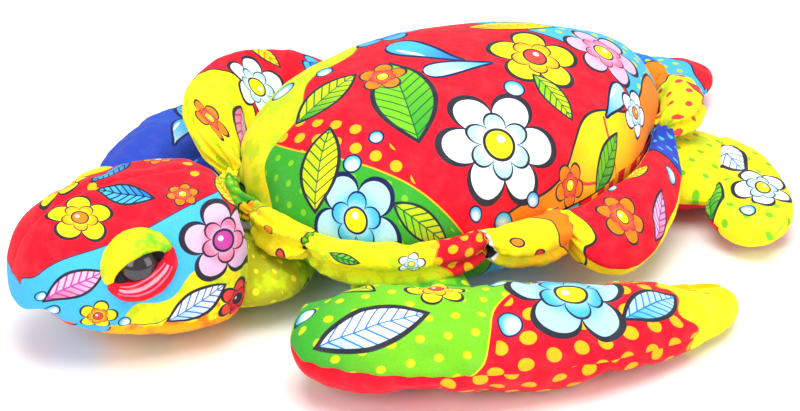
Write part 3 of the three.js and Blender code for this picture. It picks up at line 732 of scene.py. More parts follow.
# The belly's points, as the shell and the belly are stuffed as one cover
belly_power = 2.5
belly_rows = 48
belly_end = 0.97
belly_levels = np.linspace(0, belly_end, belly_rows)
belly_spread = signed_power(np.cos(belly_levels * math.pi / 2), belly_power)[:, None]
belly_drop = signed_power(np.sin(belly_levels * math.pi / 2), belly_power)[:, None]
belly_points = np.zeros((belly_rows, shell_columns, 3))
belly_points[..., 0] = seam_line[None, :, 0] * belly_spread
belly_points[..., 1] = seam_line[None, :, 1] * belly_spread
belly_points[..., 2] = side_seam_height - belly_drop * side_seam_height
belly_cloth = belly_points.copy()
gathers = np.column_stack([outline(np.array(gather_shares)), np.full(len(gather_shares), side_seam_height)])
body_rings = np.concatenate([belly_points[::-1], shell_points])
body_rings = stuffed(body_rings, gathers, slack=0.02, tight=0.97, most=0.005, step=0.006)
belly_points, shell_points = body_rings[:belly_rows][::-1], body_rings[belly_rows:]

shell = cloth_piece("shell", shell_points, shell_cloth, last_cap=shell_points[-1].mean(0))
shell_places = points_of(shell)
dimples = gather_pull(shell_places, gather_reach) * gather_dimple
push(shell, lumps(shell_places, shell_lump_size, shell_lump_depth) - dimples)
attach(shell, "body")
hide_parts("shell_cover")

# The shell's print: red, with a green field at the left front, lime at the front edge, sky blue behind
# the crown and an amber field at the left rear
c = Cloth("shell_plush", red)
c.dots(13, 3.4, amber, turn=24, within=c.form("field", c.at(10, -98, 188), 8, length=140))
c.field(52, -103, 197, green, swing=7, length=190, line=amber, thick=0.9)
c.dots(12, 2.0, bright_green, turn=10, within=c.form("field", c.at(52, -106, 197), 7, length=190))
c.field(2, -150, 116, c.mottle(14, yellow, lime, 0.5), 5, 60, green, 0.6)
c.field(20, 64, 24, sky, swing=9, length=150, line=navy, thick=1.4)
c.dots(11, 2.3, lime, turn=12, within=c.form("field", c.at(20, 68, 24), 9, length=150))
rear_field = c.form("field", c.at(92, 20, 298), 7, length=96)
c.paint(rear_field, c.outwards(c.at(88, 52), 4, 66, yellow, orange), charcoal, 1.8)
c.paint(c.common(c.grown(rear_field, -3), c.form("wave", c.at(112, 40, 62), 6, 1.0, 58)), coral)
c.paint(c.common(c.grown(rear_field, -3), c.form("wave", c.at(96, 66, 20), 5, 1.0, 66)), coral)

# Left side and front
c.flower(78, -30, 34, 6, 10, white, pale_blue, yellow, charcoal, 3.6)
c.flower(68, -128, 26, 5, 20, pale_blue, sky, yellow, navy, 2.6)
c.leaf(30, -122, 24, 128, 0.44, lime, yellow, deep_green, charcoal, 1.8, 6)
c.leaf(94, -98, 18, 20, 0.42, lime, bright_green, deep_green, charcoal, 1.3, 5)
c.bubble(44, -108, 4.6)
c.bubble(96, -122, 5.4)
c.leaf(24, -58, 34, 158, 0.46, bright_green, green, deep_green, charcoal, 2.4, 7)
c.leaf(-12, -88, 22, 96, 0.44, lime, green, deep_green, charcoal, 1.8, 6)
c.drop(-8, -22, 24, 206, 0.5, sky, blue, navy, 2.4)
c.drop(18, -18, 19, 252, 0.5, pale_blue, sky, navy, 2.2)
c.flower(0, -56, 13, 5, 0, orange, coral, yellow, charcoal, 1.3)
c.bubble(40, -88, 3.6)

# Crown and rear
c.flower(26, 30, 26, 5, 14, yellow, amber, coral, charcoal, 2.6)
c.leaf(58, 22, 17, 10, 0.42, lime, bright_green, deep_green, charcoal, 1.4, 5)
c.flower(24, 84, 24, 6, 6, lilac, pink, yellow, charcoal, 2.2)
c.drop(62, 70, 17, 130, 0.5, pale_blue, sky, navy, 1.8)
c.flower(64, 92, 13, 5, 20, white, pale_blue, orange, navy, 1.4)
c.leaf(100, 56, 20, 150, 0.44, bright_green, green, deep_green, charcoal, 1.8, 6)
c.flower(112, 14, 13, 5, 0, orange, coral, yellow, charcoal, 1.3)
c.bubble(48, 0, 5.4)
c.bubble(120, -46, 6.0)
c.bubble(106, -64, 3.8)
c.bubble(114, -20, 4.2)
c.leaf(-16, 44, 26, 70, 0.42, yellow, amber, orange, charcoal, 1.8, 6)

# Far side
c.flower(-58, -20, 22, 6, 0, sky, blue, yellow, navy, 2.0)
c.leaf(-62, 58, 26, 40, 0.42, bright_green, green, deep_green, charcoal, 1.8, 6)
c.flower(-92, 12, 20, 5, 12, yellow, orange, coral, charcoal, 1.8)
c.drop(-80, -70, 18, 140, 0.5, pale_blue, sky, navy, 1.8)
c.bubble(-50, -96, 7)
c.bubble(-34, -74, 4.4)
c.flower(-40, 110, 18, 6, 8, pink, magenta, yellow, charcoal, 1.6)
shell.data.materials.append(c.finish())


# Belly
# The underside cover, sewn to the shell at the side seam and flat where the toy lies on it.
belly_rest_height = 0.0003
belly_lump_depth = 0.0012
belly = cloth_piece("belly", belly_points, belly_cloth, last_cap=belly_points[-1].mean(0))
belly_places = points_of(belly)
settled = np.clip(belly_places[:, 2] / side_seam_height, 0, 1)
push(belly, lumps(belly_places, shell_lump_size, belly_lump_depth, seed=2) * settled)
belly_places = points_of(belly)
belly_places[:, 2] = np.maximum(belly_places[:, 2], belly_rest_height)
belly.data.vertices.foreach_set("co", belly_places.astype(np.float32).ravel())
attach(belly, "body")
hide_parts("belly_cover", "body_filling")
c = Cloth("belly_plush", green)
c.colour = c.mottle(26, bright_green, green, 0.5)
c.field(0, -40, 12, sky, 10, 120, navy, 1.4)
c.dots(12, 2.6, pale_blue, 12, c.form("field", c.at(0, -36, 12), 10, length=120))
c.field(0, 52, -10, red, 9, 110, charcoal, 1.6)
c.dots(14, 3.2, amber, -10, c.form("field", c.at(0, 57, -10), 9, length=110))
c.flower(-34, 8, 28, 5, 20, white, pale_blue, yellow, charcoal, 2.6)
c.leaf(30, -14, 26, 30, 0.44, lime, bright_green, deep_green, charcoal, 1.8, 6)
c.leaf(44, 26, 22, 110, 0.42, yellow, amber, orange, charcoal, 1.6, 5)
c.flower(-36, -78, 20, 6, 0, pink, magenta, yellow, charcoal, 1.8)
c.drop(34, -84, 20, 70, 0.5, sky, blue, navy, 1.8)
c.flower(18, 96, 20, 5, 0, yellow, orange, coral, charcoal, 1.8)
for x, y, size in ((-6, -50, 6), (8, -62, 4), (-60, -30, 5), (66, -36, 7), (-62, 46, 6)):
    c.bubble(x, y, size)
belly.data.materials.append(c.finish())


# Rim
# A stuffed tube of plush sewn on round the side seam. Its two strips meet in a seam along the outer
# edge, and strong thread draws it in at ten gathers, so it swells into rolls and wide flanges.
rim_inset = 0.004
rim_pinch_width = 0.012
rim_pinch_thickness = 0.0095
rim_section_power = 2.1
rim_stations = 84
rim_sides = 56
rim_overlap_share = 0.0012
rim_seam_depth = 0.0042
rim_seam_width = 0.0036
rim_plain_share = 0.25
rim_pucker_depth = 0.0008
rim_pucker_length = 0.0075
rim_pucker_drift = 0.009
rim_pucker_fade = 0.006
rim_pucker_start = 0.0012
rim_crease_depth = 0.0011
rim_crease_reach = 0.016
rim_creases = 9
rim_crease_sway = 3
rim_crease_turns = 5
rim_fold_angle = 1.05
rim_fold_share = 0.7
rim_fold_width = 0.0026
rim_fold_sway = 0.12
rim_fold_sway_length = 0.006
rim_lump_size = 0.020
rim_lump_depth = 0.0011
front = dict(width=0.020, thickness=0.025, lift=0.001, lead=1, swell=0.5, folds=3)
far_front = dict(width=0.017, thickness=0.020, lift=0.000, lead=1, swell=0.5, folds=3)
near = dict(width=0.026, thickness=0.026, lift=-0.004, lead=1, swell=0.5, folds=1)
roll = dict(width=0.030, thickness=0.026, lift=-0.007, lead=1, swell=0.5, folds=1)
hip = dict(width=0.050, thickness=0.022, lift=-0.036, lead=0.5, swell=0.9, folds=0)
rear = dict(width=0.031, thickness=0.026, lift=0.004, lead=1, swell=0.5, folds=1)
far_hip = dict(width=0.038, thickness=0.022, lift=0.008, lead=1, swell=0.6, folds=0)
shoulder = dict(width=0.055, thickness=0.022, lift=0.062, lead=1.05, swell=0.38, folds=0)
rim_lengths = {
    "front_left": front, "side_front_left": near, "roll_left": roll, "side_rear_left": hip, "rear_left": rear,
    "rear_right": rear, "side_rear_right": far_hip, "roll_right": roll, "side_front_right": shoulder,
    "front_right": far_front,
}


def rim_form(start, end, sizes):
    """Points, print places, depths of seam and folds, and the middle line of one rim length."""
    along = np.linspace(0, 1, rim_stations)
    share = start - rim_overlap_share + (end - start + 2 * rim_overlap_share) * along
    here = outline(share)
    tangent = outline(share + 1e-4) - outline(share - 1e-4)
    tangent /= np.linalg.norm(tangent, axis=1)[:, None]
    outward = np.stack([tangent[:, 1], -tangent[:, 0], np.zeros(rim_stations)], -1)
    swell = np.sin(math.pi * np.minimum(1, along ** sizes["lead"])) ** sizes["swell"]
    width = rim_pinch_width + (sizes["width"] - rim_pinch_width) * swell
    thickness = rim_pinch_thickness + (sizes["thickness"] - rim_pinch_thickness) * swell
    side = outward * width[:, None]
    side[:, 2] = sizes["lift"] * width / sizes["width"]
    side /= np.linalg.norm(side, axis=1)[:, None]
    centre = np.column_stack([here, np.full(rim_stations, side_seam_height)])
    centre += outward * -rim_inset + side * (width / 2)[:, None]
    up = np.cross(side, np.column_stack([tangent, np.zeros(rim_stations)]))
    up /= np.linalg.norm(up, axis=1)[:, None]
    angle = 2 * math.pi * np.arange(rim_sides) / rim_sides
    across = signed_power(np.cos(angle), rim_section_power)[None, :, None] * (width / 2)[:, None, None]
    height = signed_power(np.sin(angle), rim_section_power)[None, :, None] * (thickness / 2)[:, None, None]
    points = centre[:, None] + side[:, None] * across + up[:, None] * height
    length = run_along(centre)
    to_end = np.minimum(length, length[-1] - length)[:, None]
    signed = (angle + math.pi) % (2 * math.pi) - math.pi
    seam_away = np.abs(signed)[None] * (width / 2)[:, None]
    drift = 2 * np.sin(length[:, None] / rim_pucker_drift)
    pucker = np.cos(2 * math.pi * length[:, None] / rim_pucker_length + drift)
    sway = rim_crease_sway * np.sin(rim_crease_turns * share[:, None] * math.pi)
    crease = np.cos(rim_creases * angle[None] + sway)
    drawn = min(1, sizes["folds"]) * (1 - rim_plain_share) + rim_plain_share
    depth = -rim_seam_depth * drawn * np.exp(-(seam_away / rim_seam_width) ** 2)
    beside_seam = np.exp(-seam_away / rim_pucker_fade)
    off_seam = 1 - np.exp(-seam_away / rim_pucker_start)
    depth = depth + rim_pucker_depth * drawn * pucker * beside_seam * off_seam
    depth = depth + rim_crease_depth * crease * np.exp(-to_end / rim_crease_reach)
    for fold in range(1, sizes["folds"]):
        fold_angle = (-1) ** fold * rim_fold_angle
        sway = rim_fold_sway * np.sin(length[:, None] / rim_fold_sway_length)
        fold_away = np.abs(signed - fold_angle - sway) * (thickness / 2)[:, None]
        depth = depth - rim_seam_depth * rim_fold_share * np.exp(-(fold_away / rim_fold_width) ** 2)
    cloth = np.zeros_like(points)
    cloth[..., 0] = length[:, None]
    cloth[..., 1] = (signed / (2 * math.pi))[None] * (math.pi * (width + thickness) / 2)[:, None]
    cloth[..., 2] = share[:, None]
    return points, cloth, depth, centre


rim_grounds = {
    "front_left": yellow, "side_front_left": yellow, "roll_left": yellow, "side_rear_left": red,
    "rear_left": yellow, "rear_right": blue, "side_rear_right": yellow, "roll_right": orange,
    "side_front_right": red, "front_right": green,
}


def rim_print(place):
    """The piece of print that each rim length was cut from; it differs from one to the next. On the
    left front side and left roll lengths the underside darkens to olive as painted shade.
    """
    c = Cloth(f"rim_plush_{place}", rim_grounds[place])
    if place == "front_left":
        c.colour = c.mottle(9, yellow, amber, 0.36)
        c.field(9, 0, 80, lime, 3, 30, charcoal, 0.9)
        c.field(52, 0, 276, bright_green, 2, 26, charcoal, 1.0)
        c.disc(30, 6, 2.6, orange, charcoal, 0.6)
        c.disc(38, -6, 2.0, coral)
    elif place == "front_right":
        c.colour = c.mottle(10, bright_green, green, 0.5)
        c.field(43, 0, 262, amber, 2, 24, charcoal, 1.1)
        c.field(9, 0, 84, yellow, 2, 22, charcoal, 0.8)
        c.dots(7, 1.3, lime, 0, c.form("field", c.at(11, 0, 276), 2, length=22))
    elif place == "side_front_left":
        # Mottled print that turns to darker lime and olive below the outer seam: painted shade on the roll's
        # underside
        outer, under = c.mottle(11, yellow, lime, 0.4), c.mottle(7, lime, olive, 0.45)
        c.colour = c.along(c.at(0, 0, 90), 1, -4, outer, under)
        c.field(76, 0, 283, red, 3, 28, orange, 1.2)
        c.dots(10, 2.5, amber, 30, c.form("field", c.at(70, 0, 283), 3, length=28))
        c.field(101, 0, 270, orange, 1, 16, charcoal, 0.9)
        c.leaf(26, 9, 7, -8, 0.36, bright_green, green, deep_green, charcoal, 0.7, 3)
        c.flower(58, 8, 6.5, 5, 0, white, pale_blue, yellow, charcoal, 0.8)
    elif place == "roll_left":
        # Yellow print that turns to mottled olive and amber on the underside: painted shade under the roll,
        # mixed with the print's mottle
        c.colour = c.along(c.at(0, 2, 90), 2, -12, yellow, c.mottle(8, olive, amber, 0.5))
        c.field(4.0, 0, 90, white)
        c.field(2.4, 0, 90, charcoal)
        c.field(44, 0, 288, orange, 2, 26, charcoal, 1.0)
        c.field(56, 0, 280, yellow, 2, 22, charcoal, 1.0)
        c.disc(16, 13, 2.6, orange)
        c.disc(26, 4, 2.0, coral)
    elif place == "side_rear_left":
        c.field(0, 2, 184, yellow, 1.5, 60)
        c.field(11, 0, 74, yellow, 3, 36, charcoal, 1.1)
        c.field(122, 0, 278, royal, 4, 40, charcoal, 2.2)
        c.dots(9, 1.8, sky, 12, c.form("field", c.at(126, 0, 278), 4, length=40))
        c.flower(44, 30, 13, 6, 16, orange, coral, yellow, charcoal, 1.2)
        c.leaf(72, 16, 14, 24, 0.42, lilac, pink, magenta, charcoal, 1.2, 4)
        c.leaf(86, 40, 12, -30, 0.4, yellow, amber, orange, charcoal, 1.1, 4)
        c.bubble(104, 18, 4.0, thick=0.8)
        c.bubble(60, 48, 3.2, thick=0.7)
    elif place == "rear_left":
        c.colour = c.mottle(12, yellow, lime, 0.4)
        c.dots(13, 2.2, coral, 22)
        c.leaf(34, 12, 8, 50, 0.4, coral, orange, deep_red, charcoal, 0.8, 3)
        c.field(54, 0, 280, orange, 2, 25, charcoal, 1.0)
    elif place == "rear_right":
        c.dots(11, 2.4, lime, 15)
        c.field(14, 0, 86, orange, 2, 30, charcoal, 1.0)
        c.flower(34, 8, 9, 5, 0, white, pale_blue, yellow, navy, 1.0)
    elif place == "side_rear_right":
        c.field(30, 0, 78, orange, 4, 36, charcoal, 1.2)
        c.flower(54, 16, 13, 5, 0, red, coral, yellow, charcoal, 1.2)
        c.leaf(86, 14, 13, 20, 0.4, bright_green, green, deep_green, charcoal, 1.1, 4)
        c.flower(112, 10, 9, 6, 0, white, pale_blue, yellow, charcoal, 1.0)
    elif place == "roll_right":
        c.colour = c.mottle(10, orange, coral, 0.5)
        c.flower(26, 12, 9, 5, 0, yellow, amber, coral, charcoal, 1.0)
    else:
        c.field(92, 10, 280, yellow, 7, 70, charcoal, 1.4)
        c.dots(12, 2.6, lime, 18, c.form("field", c.at(96, 10, 280), 7, length=70))
        c.leaf(112, 40, 17, 20, 0.46, lilac, pink, magenta, charcoal, 1.6, 5)
        c.flower(126, 16, 10, 5, 12, orange, coral, yellow, charcoal, 1.1)
        c.flower(70, 30, 17, 6, 64, white, pale_blue, yellow, charcoal, 1.8)
        c.drop(36, 34, 15, 60, 0.5, amber, orange, charcoal, 1.4)
        c.leaf(52, 10, 12, 110, 0.4, yellow, amber, orange, charcoal, 1.1, 4)
        c.bubble(94, 58, 4.4)
        c.flower(20, 18, 10, 5, 0, sky, blue, yellow, navy, 1.1)
    return c.finish()


rim_ends = gather_shares + [gather_shares[0] + 1]
for index, (place, sizes) in enumerate(rim_lengths.items()):
    points, cloth, depth, centre = rim_form(rim_ends[index], rim_ends[index + 1], sizes)
    seams = np.concatenate([points[:, 0], points[0], points[-1]])
    slack = 0.05 if sizes["folds"] else 0.03
    points = stuffed(points, seams, slack=slack, tight=0.9, most=0.005, step=0.0045)
    length = cloth_piece(f"rim_{place}_roll", points, cloth, first_cap=centre[0], last_cap=centre[-1])
    caps = [0, 0]
    fall = np.concatenate([depth.ravel(), caps])
    push(length, fall + lumps(points_of(length), rim_lump_size, rim_lump_depth, seed=index))
    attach(length, "body")
    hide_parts(f"rim_{place}")
    length.data.materials.append(rim_print(place))


# Neck
# A soft bulge of plush between the body and the back of the head, filled with fibre so that the head
# can turn and nod on it.
neck_turn_x = 0.010
neck_turn_y = -0.141
neck_turn_angle = math.radians(-11)
neck_radius = 0.035
neck_bottom = 0.006
neck_top = 0.039
neck_shares = [0, 0.62, 0.9, 1, 0.93, 0.72, 0]
neck_rows = 40
neck_columns = 96
neck_fold_size = 0.016
neck_fold_depth = 0.0012


def share_at(shares, along):
    """A smooth curve through evenly spaced shares, read at along from 0 to 1."""
    shares = np.asarray(shares, float)
    place = np.clip(np.asarray(along, float), 0, 1) * (len(shares) - 1)
    index = np.minimum(np.floor(place).astype(int), len(shares) - 2)
    part = place - index
    before = shares[np.maximum(index - 1, 0)]
    start, end = shares[index], shares[index + 1]
    after = shares[np.minimum(index + 2, len(shares) - 1)]
    slope_in, slope_out = (end - before) / 2, (after - start) / 2
    cubic = (2 * start - 2 * end + slope_in + slope_out) * part ** 3
    square = (-3 * start + 3 * end - 2 * slope_in - slope_out) * part ** 2
    return np.maximum(0, cubic + square + slope_in * part + start)


neck_along = np.linspace(0.01, 0.99, neck_rows)
neck_angle = 2 * math.pi * np.arange(neck_columns) / neck_columns
neck_width = neck_radius * share_at(neck_shares, neck_along)[:, None]
neck_points = np.zeros((neck_rows, neck_columns, 3))
neck_points[..., 0] = neck_turn_x + neck_width * np.cos(neck_angle)
neck_points[..., 1] = neck_turn_y + neck_width * np.sin(neck_angle)
neck_points[..., 2] = (neck_bottom + (neck_top - neck_bottom) * neck_along)[:, None]
neck_cloth = np.zeros_like(neck_points)
neck_cloth[..., 0] = neck_radius * neck_angle
neck_cloth[..., 1] = run_along(neck_points)
neck = cloth_piece(
    "neck",
    neck_points,
    neck_cloth,
    first_cap=(neck_turn_x, neck_turn_y, neck_bottom),
    last_cap=(neck_turn_x, neck_turn_y, neck_top),
)
push(neck, lumps(points_of(neck), neck_fold_size, neck_fold_depth, seed=4))
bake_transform(neck)
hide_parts("neck_pad")
c = Cloth("neck_plush", olive)
c.colour = c.mottle(11, olive, lime, 0.42)
c.dots(13, 2.0, yellow, 20)
c.leaf(16, 30, 12, 60, 0.42, lime, bright_green, deep_green, charcoal, 1.0, 4)
neck.data.materials.append(c.finish())


# Head
# A stuffed head of three plush panels: left and right sides that meet on a seam over the middle, and
# a chin. The sides narrow to a short beak, which overhangs the chin a little.
head_nod_y = -0.198
head_nod_z = 0.047
head_rear_length = 0.047
head_front_length = 0.076
head_half_width = 0.0495
head_top_height = 0.047
head_bottom_depth = 0.0466
head_section_power = 2.25
head_width_shares = [0, 0.67, 0.92, 0.99, 0.99, 0.97, 0.91, 0.80, 0.62, 0.37, 0]
head_top_shares = [0.05, 0.66, 0.88, 0.98, 1.01, 1.01, 0.97, 0.87, 0.68, 0.38, 0.02]
head_bottom_shares = [0.05, 0.72, 0.93, 1, 0.98, 0.89, 0.71, 0.46, 0.24, 0.13, 0.02]
beak_droop = 0.010
beak_droop_power = 3
# Of the lip and of the notch below it: place along and up, length, height and rise
beak_lip = (-0.0710, -0.0170, 0.007, 0.0060, 0.0028)
beak_notch = (-0.0655, -0.0150, 0.0060, 0.0060, -0.0058)
beak_middle = np.array([0, -0.055, -0.002])
chin_seam_rear = 0.030
chin_seam_front = 0.013
head_stations = 130
side_columns = 72
chin_columns = 56
head_seam_depth = 0.0013
head_seam_width = 0.0018
head_pucker_depth = 0.0007
head_pucker_length = 0.008
head_seam = (head_seam_depth, head_seam_width, head_pucker_depth, head_pucker_length)
head_seam_fade = 0.02
pucker_drift = 1.7
pucker_drift_length = 0.013
pucker_fade = 0.005
head_lump_size = 0.024
head_lump_depth = 0.0009
head_lump_fade = 0.012
eye_out = 0.0425
eye_forward = 0.017
eye_up = 0.016

head_frame = (
    Matrix.Translation((neck_turn_x, neck_turn_y, 0))
    @ Matrix.Rotation(neck_turn_angle, 4, "Z")
    @ Matrix.Translation((0, head_nod_y - neck_turn_y, head_nod_z))
)


def placed(points, frame):
    """Points of a piece's own frame, set where the piece sits on the toy."""
    turned = np.array(frame.to_3x3())
    return np.asarray(points) @ turned.T + np.array(frame.translation)


def eased(along):
    return (1 - np.cos(np.pi * np.asarray(along))) / 2


def arc_to_edges(points):
    """For rows of points, how far each lies from the nearer end of its row, along the cloth."""
    length = run_along(points, axis=1)
    return np.minimum(length, length[:, -1:] - length)


def seam_depth(away, along, depth, width, pucker, pucker_length):
    """A seam pulls the cloth in along a line, and puckers it beside the line."""
    drift = pucker_drift * np.sin(along / pucker_drift_length)
    fold = np.cos(2 * math.pi * along / pucker_length + drift)
    puckers = pucker * (0.5 - 0.5 * fold) * np.exp(-away / pucker_fade)
    return depth * np.exp(-(away / width) ** 2) + puckers


head_along = np.linspace(0, 1, head_stations)
head_y = head_rear_length - eased(head_along) * (head_rear_length + head_front_length)
head_half = head_half_width * share_at(head_width_shares, head_along)
head_rise = head_top_height * share_at(head_top_shares, head_along)
head_drop = head_bottom_depth * share_at(head_bottom_shares, head_along)
head_level = -beak_droop * head_along ** beak_droop_power
chin_seam = np.interp(head_y, [-head_front_length, head_rear_length], [chin_seam_front, chin_seam_rear])
chin_height = chin_seam + head_level
chin_share = np.clip(chin_height / np.maximum(head_drop, 1e-6), 0, 1)
chin_angle = -np.arcsin(chin_share ** (head_section_power / 2))


def head_rows(first_angle, last_angle, columns):
    """Rows of head points between two angles of its section."""
    part = np.linspace(0, 1, columns)[None]
    angle = first_angle[:, None] + (last_angle - first_angle)[:, None] * part
    up = signed_power(np.sin(angle), head_section_power)
    points = np.zeros((head_stations, columns, 3))
    points[..., 0] = signed_power(np.cos(angle), head_section_power) * head_half[:, None]
    points[..., 1] = head_y[:, None]
    points[..., 2] = head_level[:, None] + up * np.where(up > 0, head_rise[:, None], head_drop[:, None])
    return points


def sink_head(points, depth):
    """Moves head points in towards the middle line by depth, then shapes the beak's lip and notch."""
    outward = points * np.array([1, 0, 1])
    outward[..., 2] -= head_level[:, None]
    reach = np.maximum(np.linalg.norm(outward, axis=-1, keepdims=True), 1e-6)
    share = np.clip(reach / head_seam_fade, 0, 1)
    points = points - outward / reach * depth[..., None] * share
    away = points - beak_middle
    away = away / np.linalg.norm(away, axis=-1, keepdims=True)
    for y, z, length, height, rise in (beak_lip, beak_notch):
        near = np.exp(-((points[..., 1] - y) / length) ** 2 - ((points[..., 2] - z) / height) ** 2)
        points = points + away * (near * rise)[..., None]
    return points


def head_print(hand, lid_shade_place):
    """Red crown, a sky blue band from the beak past the eye and a lime patch below the eye. Behind the
    lids the cloth is painted charcoal: painted shade for the dark corners of the slit between the lids."""
    c = Cloth(f"head_plush_{'left' if hand > 0 else 'right'}", red)
    c.field(-72, 19, 197, sky, 1.0, 80, navy, 0.6)
    c.field(28, 64, 283, red, 3, 50)
    c.field(-28, -12, 206, c.mottle(10, lime, yellow, 0.5), 3, 36)
    c.field(-4, -15, 190, c.mottle(8, yellow, orange, 0.5), 2, 28, charcoal, 0.6)
    # A charcoal disc round the eye socket is painted shade, showing dark in the corners of the slit between
    # the lids
    c.disc(*lid_shade_place, 15, charcoal)
    c.flower(29, 24, 21, 5, 20, lilac, pink, magenta, charcoal, 2.8)
    c.leaf(12, -10, 17, 24, 0.46, white, pale_blue, blue, charcoal, 1.6, 5)
    c.flower(37, -16, 12, 6, 20, coral, red, charcoal, charcoal, 1.8)
    c.leaf(41, 52, 13, 100, 0.42, yellow, amber, orange, charcoal, 1.2, 4)
    c.leaf(-50, 12, 15, 20, 0.4, lilac, pink, magenta, charcoal, 1.3, 4)
    c.bubble(-62, -2, 3.4, thick=0.8)
    c.bubble(-66, 10, 2.2, thick=0.6)
    c.flower(-40, -8, 9, 5, 0, yellow, orange, coral, charcoal, 1.0)
    c.bubble(-27, -14, 2.8, thick=0.7)
    c.flower(-40, 50, 15, 5, 8, yellow, amber, orange, charcoal, 1.6)
    c.leaf(-14, 62, 14, 152, 0.44, sky, blue, navy, charcoal, 1.4, 4)
    c.flower(14, 55, 8, 6, 0, orange, coral, yellow, charcoal, 1.0)
    c.disc(-28, 72, 2.6, amber, charcoal, 0.6)
    c.disc(26, 70, 2.6, amber, charcoal, 0.6)
    return c.finish()


crown_angle = np.full(head_stations, math.pi / 2)
side_points = head_rows(chin_angle, crown_angle, side_columns)
chin_points = head_rows(math.pi * -1 - chin_angle, chin_angle, chin_columns)
mirrored = side_points[:, ::-1] * np.array([-1, 1, 1])
sockets = [(hand * eye_out, -eye_forward, eye_up) for hand in (1, -1)]
head_seams = np.concatenate([side_points[:, 0], side_points[:, -1], mirrored[:, -1], sockets])
head_rings = np.concatenate([side_points, mirrored, chin_points], axis=1)
head_rings = stuffed(head_rings, head_seams, slack=0.03, tight=0.95, most=0.004)

side_away = arc_to_edges(side_points)
side_depth = seam_depth(side_away, run_along(side_points), *head_seam)
side_cloth = np.zeros_like(side_points)
side_cloth[..., 0] = side_points[..., 1]
side_cloth[..., 1] = run_along(side_points, axis=1) + side_points[:, :1, 2]
# Where the eye socket lies on the side panel's cloth: the middle of the painted shade behind the lids
nearest = np.argmin(np.linalg.norm(side_points - sockets[0], axis=-1))
lid_shade_place = side_cloth.reshape(-1, 3)[nearest, :2] * 1000
for word, hand in (("left", 1), ("right", -1)):
    first = 0 if hand > 0 else side_columns
    points = head_rings[:, first:first + side_columns][:, ::hand]
    lump = lumps(side_points, head_lump_size, head_lump_depth, seed=hand + 3)
    points = sink_head(points, side_depth - lump * np.clip(side_away / head_lump_fade, 0, 1))
    side = cloth_piece(f"head_side_{word}", placed(points, head_frame), side_cloth, closed=False)
    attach(side, "head")
    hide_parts(f"head_{word}")
    side.data.materials.append(head_print(hand, lid_shade_place))

chin_away = arc_to_edges(chin_points)
chin_depth = seam_depth(chin_away, run_along(chin_points), *head_seam)
sunk_chin = placed(sink_head(head_rings[:, 2 * side_columns:], chin_depth), head_frame)
chin = cloth_piece("head_chin_panel", sunk_chin, chin_points, closed=False)
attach(chin, "head")
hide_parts("head_chin", "head_filling")
c = Cloth("chin_plush", yellow)
c.colour = c.mottle(13, yellow, lime, 0.45)
c.field(0, -34, 0, c.mottle(9, amber, orange, 0.45), 3, 40, charcoal, 0.7)
c.field(0, -34, 180, sky, 3, 40, navy, 0.7)
c.field(0, -52, 180, coral, 3, 30, charcoal, 0.8)
c.flower(0, 4, 13, 6, 0, white, pale_blue, yellow, charcoal, 1.3)
c.leaf(26, -6, 10, 60, 0.42, bright_green, green, deep_green, charcoal, 1.0, 4)
c.leaf(-26, -6, 10, 120, 0.42, bright_green, green, deep_green, charcoal, 1.0, 4)
chin.data.materials.append(c.finish())


# Eyes
# Glossy dark plastic safety eyes on a post through the cover, each held by a lock washer inside.
# A padded lid of plush lies over each eye and another under it, and only a slit stays open.
eye_turn = math.radians(-8)
eye_tilt = math.radians(15)
eye_radius = 0.010
eye_dome = 0.006
eye_rim = 0.0016
eye_post_radius = 0.0022
eye_post_length = 0.017
eye_columns = 64
eye_dome_rows = 24
eye_edge_round = 0.0005
lid_slit = math.radians(24)
lid_slit_half = 0.0145
lid_slit_open = 0.0050
lid_half_length = 0.0212
lid_half_breadth = 0.0196
lid_puff = 0.0080
lid_pinch = 0.58
lid_lean = 0.0032
lid_start = -0.035
lid_span = 1.07
lid_stations = 72
lid_sides = 48
lid_end_share = 0.06
lid_end_least = 0.02
lid_sink = 0.0018
lid_girth = 0.038
lid_crease_size = 0.006
lid_crease_depth = 0.0005
lid_fold_share = 0.09
# Of each fold along a lid: place round the lid, sway, how often it sways and breadth
lid_folds = [(1.25, 0.12, 9, 0.16), (2.1, 0.1, 11, 0.13)]


def eye_frame(hand):
    """Where an eye sits on the head, with X out through the middle of its dome."""
    turn = eye_turn if hand > 0 else math.pi - eye_turn
    return (
        head_frame
        @ Matrix.Translation((hand * eye_out, -eye_forward, eye_up))
        @ Matrix.Rotation(turn, 4, "Z")
        @ Matrix.Rotation(-eye_tilt, 4, "Y")
    )


def moulded_plastic(name, dark, light, cloud, grain, smooth, rough):
    """A moulded plastic with faint clouds in its colour and a fine change in its gloss."""
    plastic = bpy.data.materials.new(name)
    plastic.use_nodes = True
    nodes = Nodes(plastic.node_tree)
    place = nodes.node("ShaderNodeTexCoord").outputs["Object"]
    skin = plastic.node_tree.nodes["Principled BSDF"]
    nodes.put(skin.inputs["Base Color"], nodes.mix(nodes.noise(place, cloud), dark, light))
    nodes.put(skin.inputs["Roughness"], nodes.shape(nodes.noise(place, grain), 0.3, 0.8, smooth, rough))
    return plastic


eye_black = dye(22, 20, 24)
eye_brown = dye(44, 40, 48)
eye_coat = 0.7
eye_coat_roughness = 0.03
eye_plastic = moulded_plastic("eye_plastic", eye_black, eye_brown, 0.004, 0.0012, 0.05, 0.16)
eye_plastic.node_tree.nodes["Principled BSDF"].inputs["Coat Weight"].default_value = eye_coat
eye_plastic.node_tree.nodes["Principled BSDF"].inputs["Coat Roughness"].default_value = eye_coat_roughness
washer_pale = dye(226, 224, 216)
washer_white = dye(240, 238, 232)
washer_plastic = moulded_plastic("washer_plastic", washer_pale, washer_white, 0.003, 0.001, 0.4, 0.6)
lid_highlight_pink = dye(250, 150, 170)


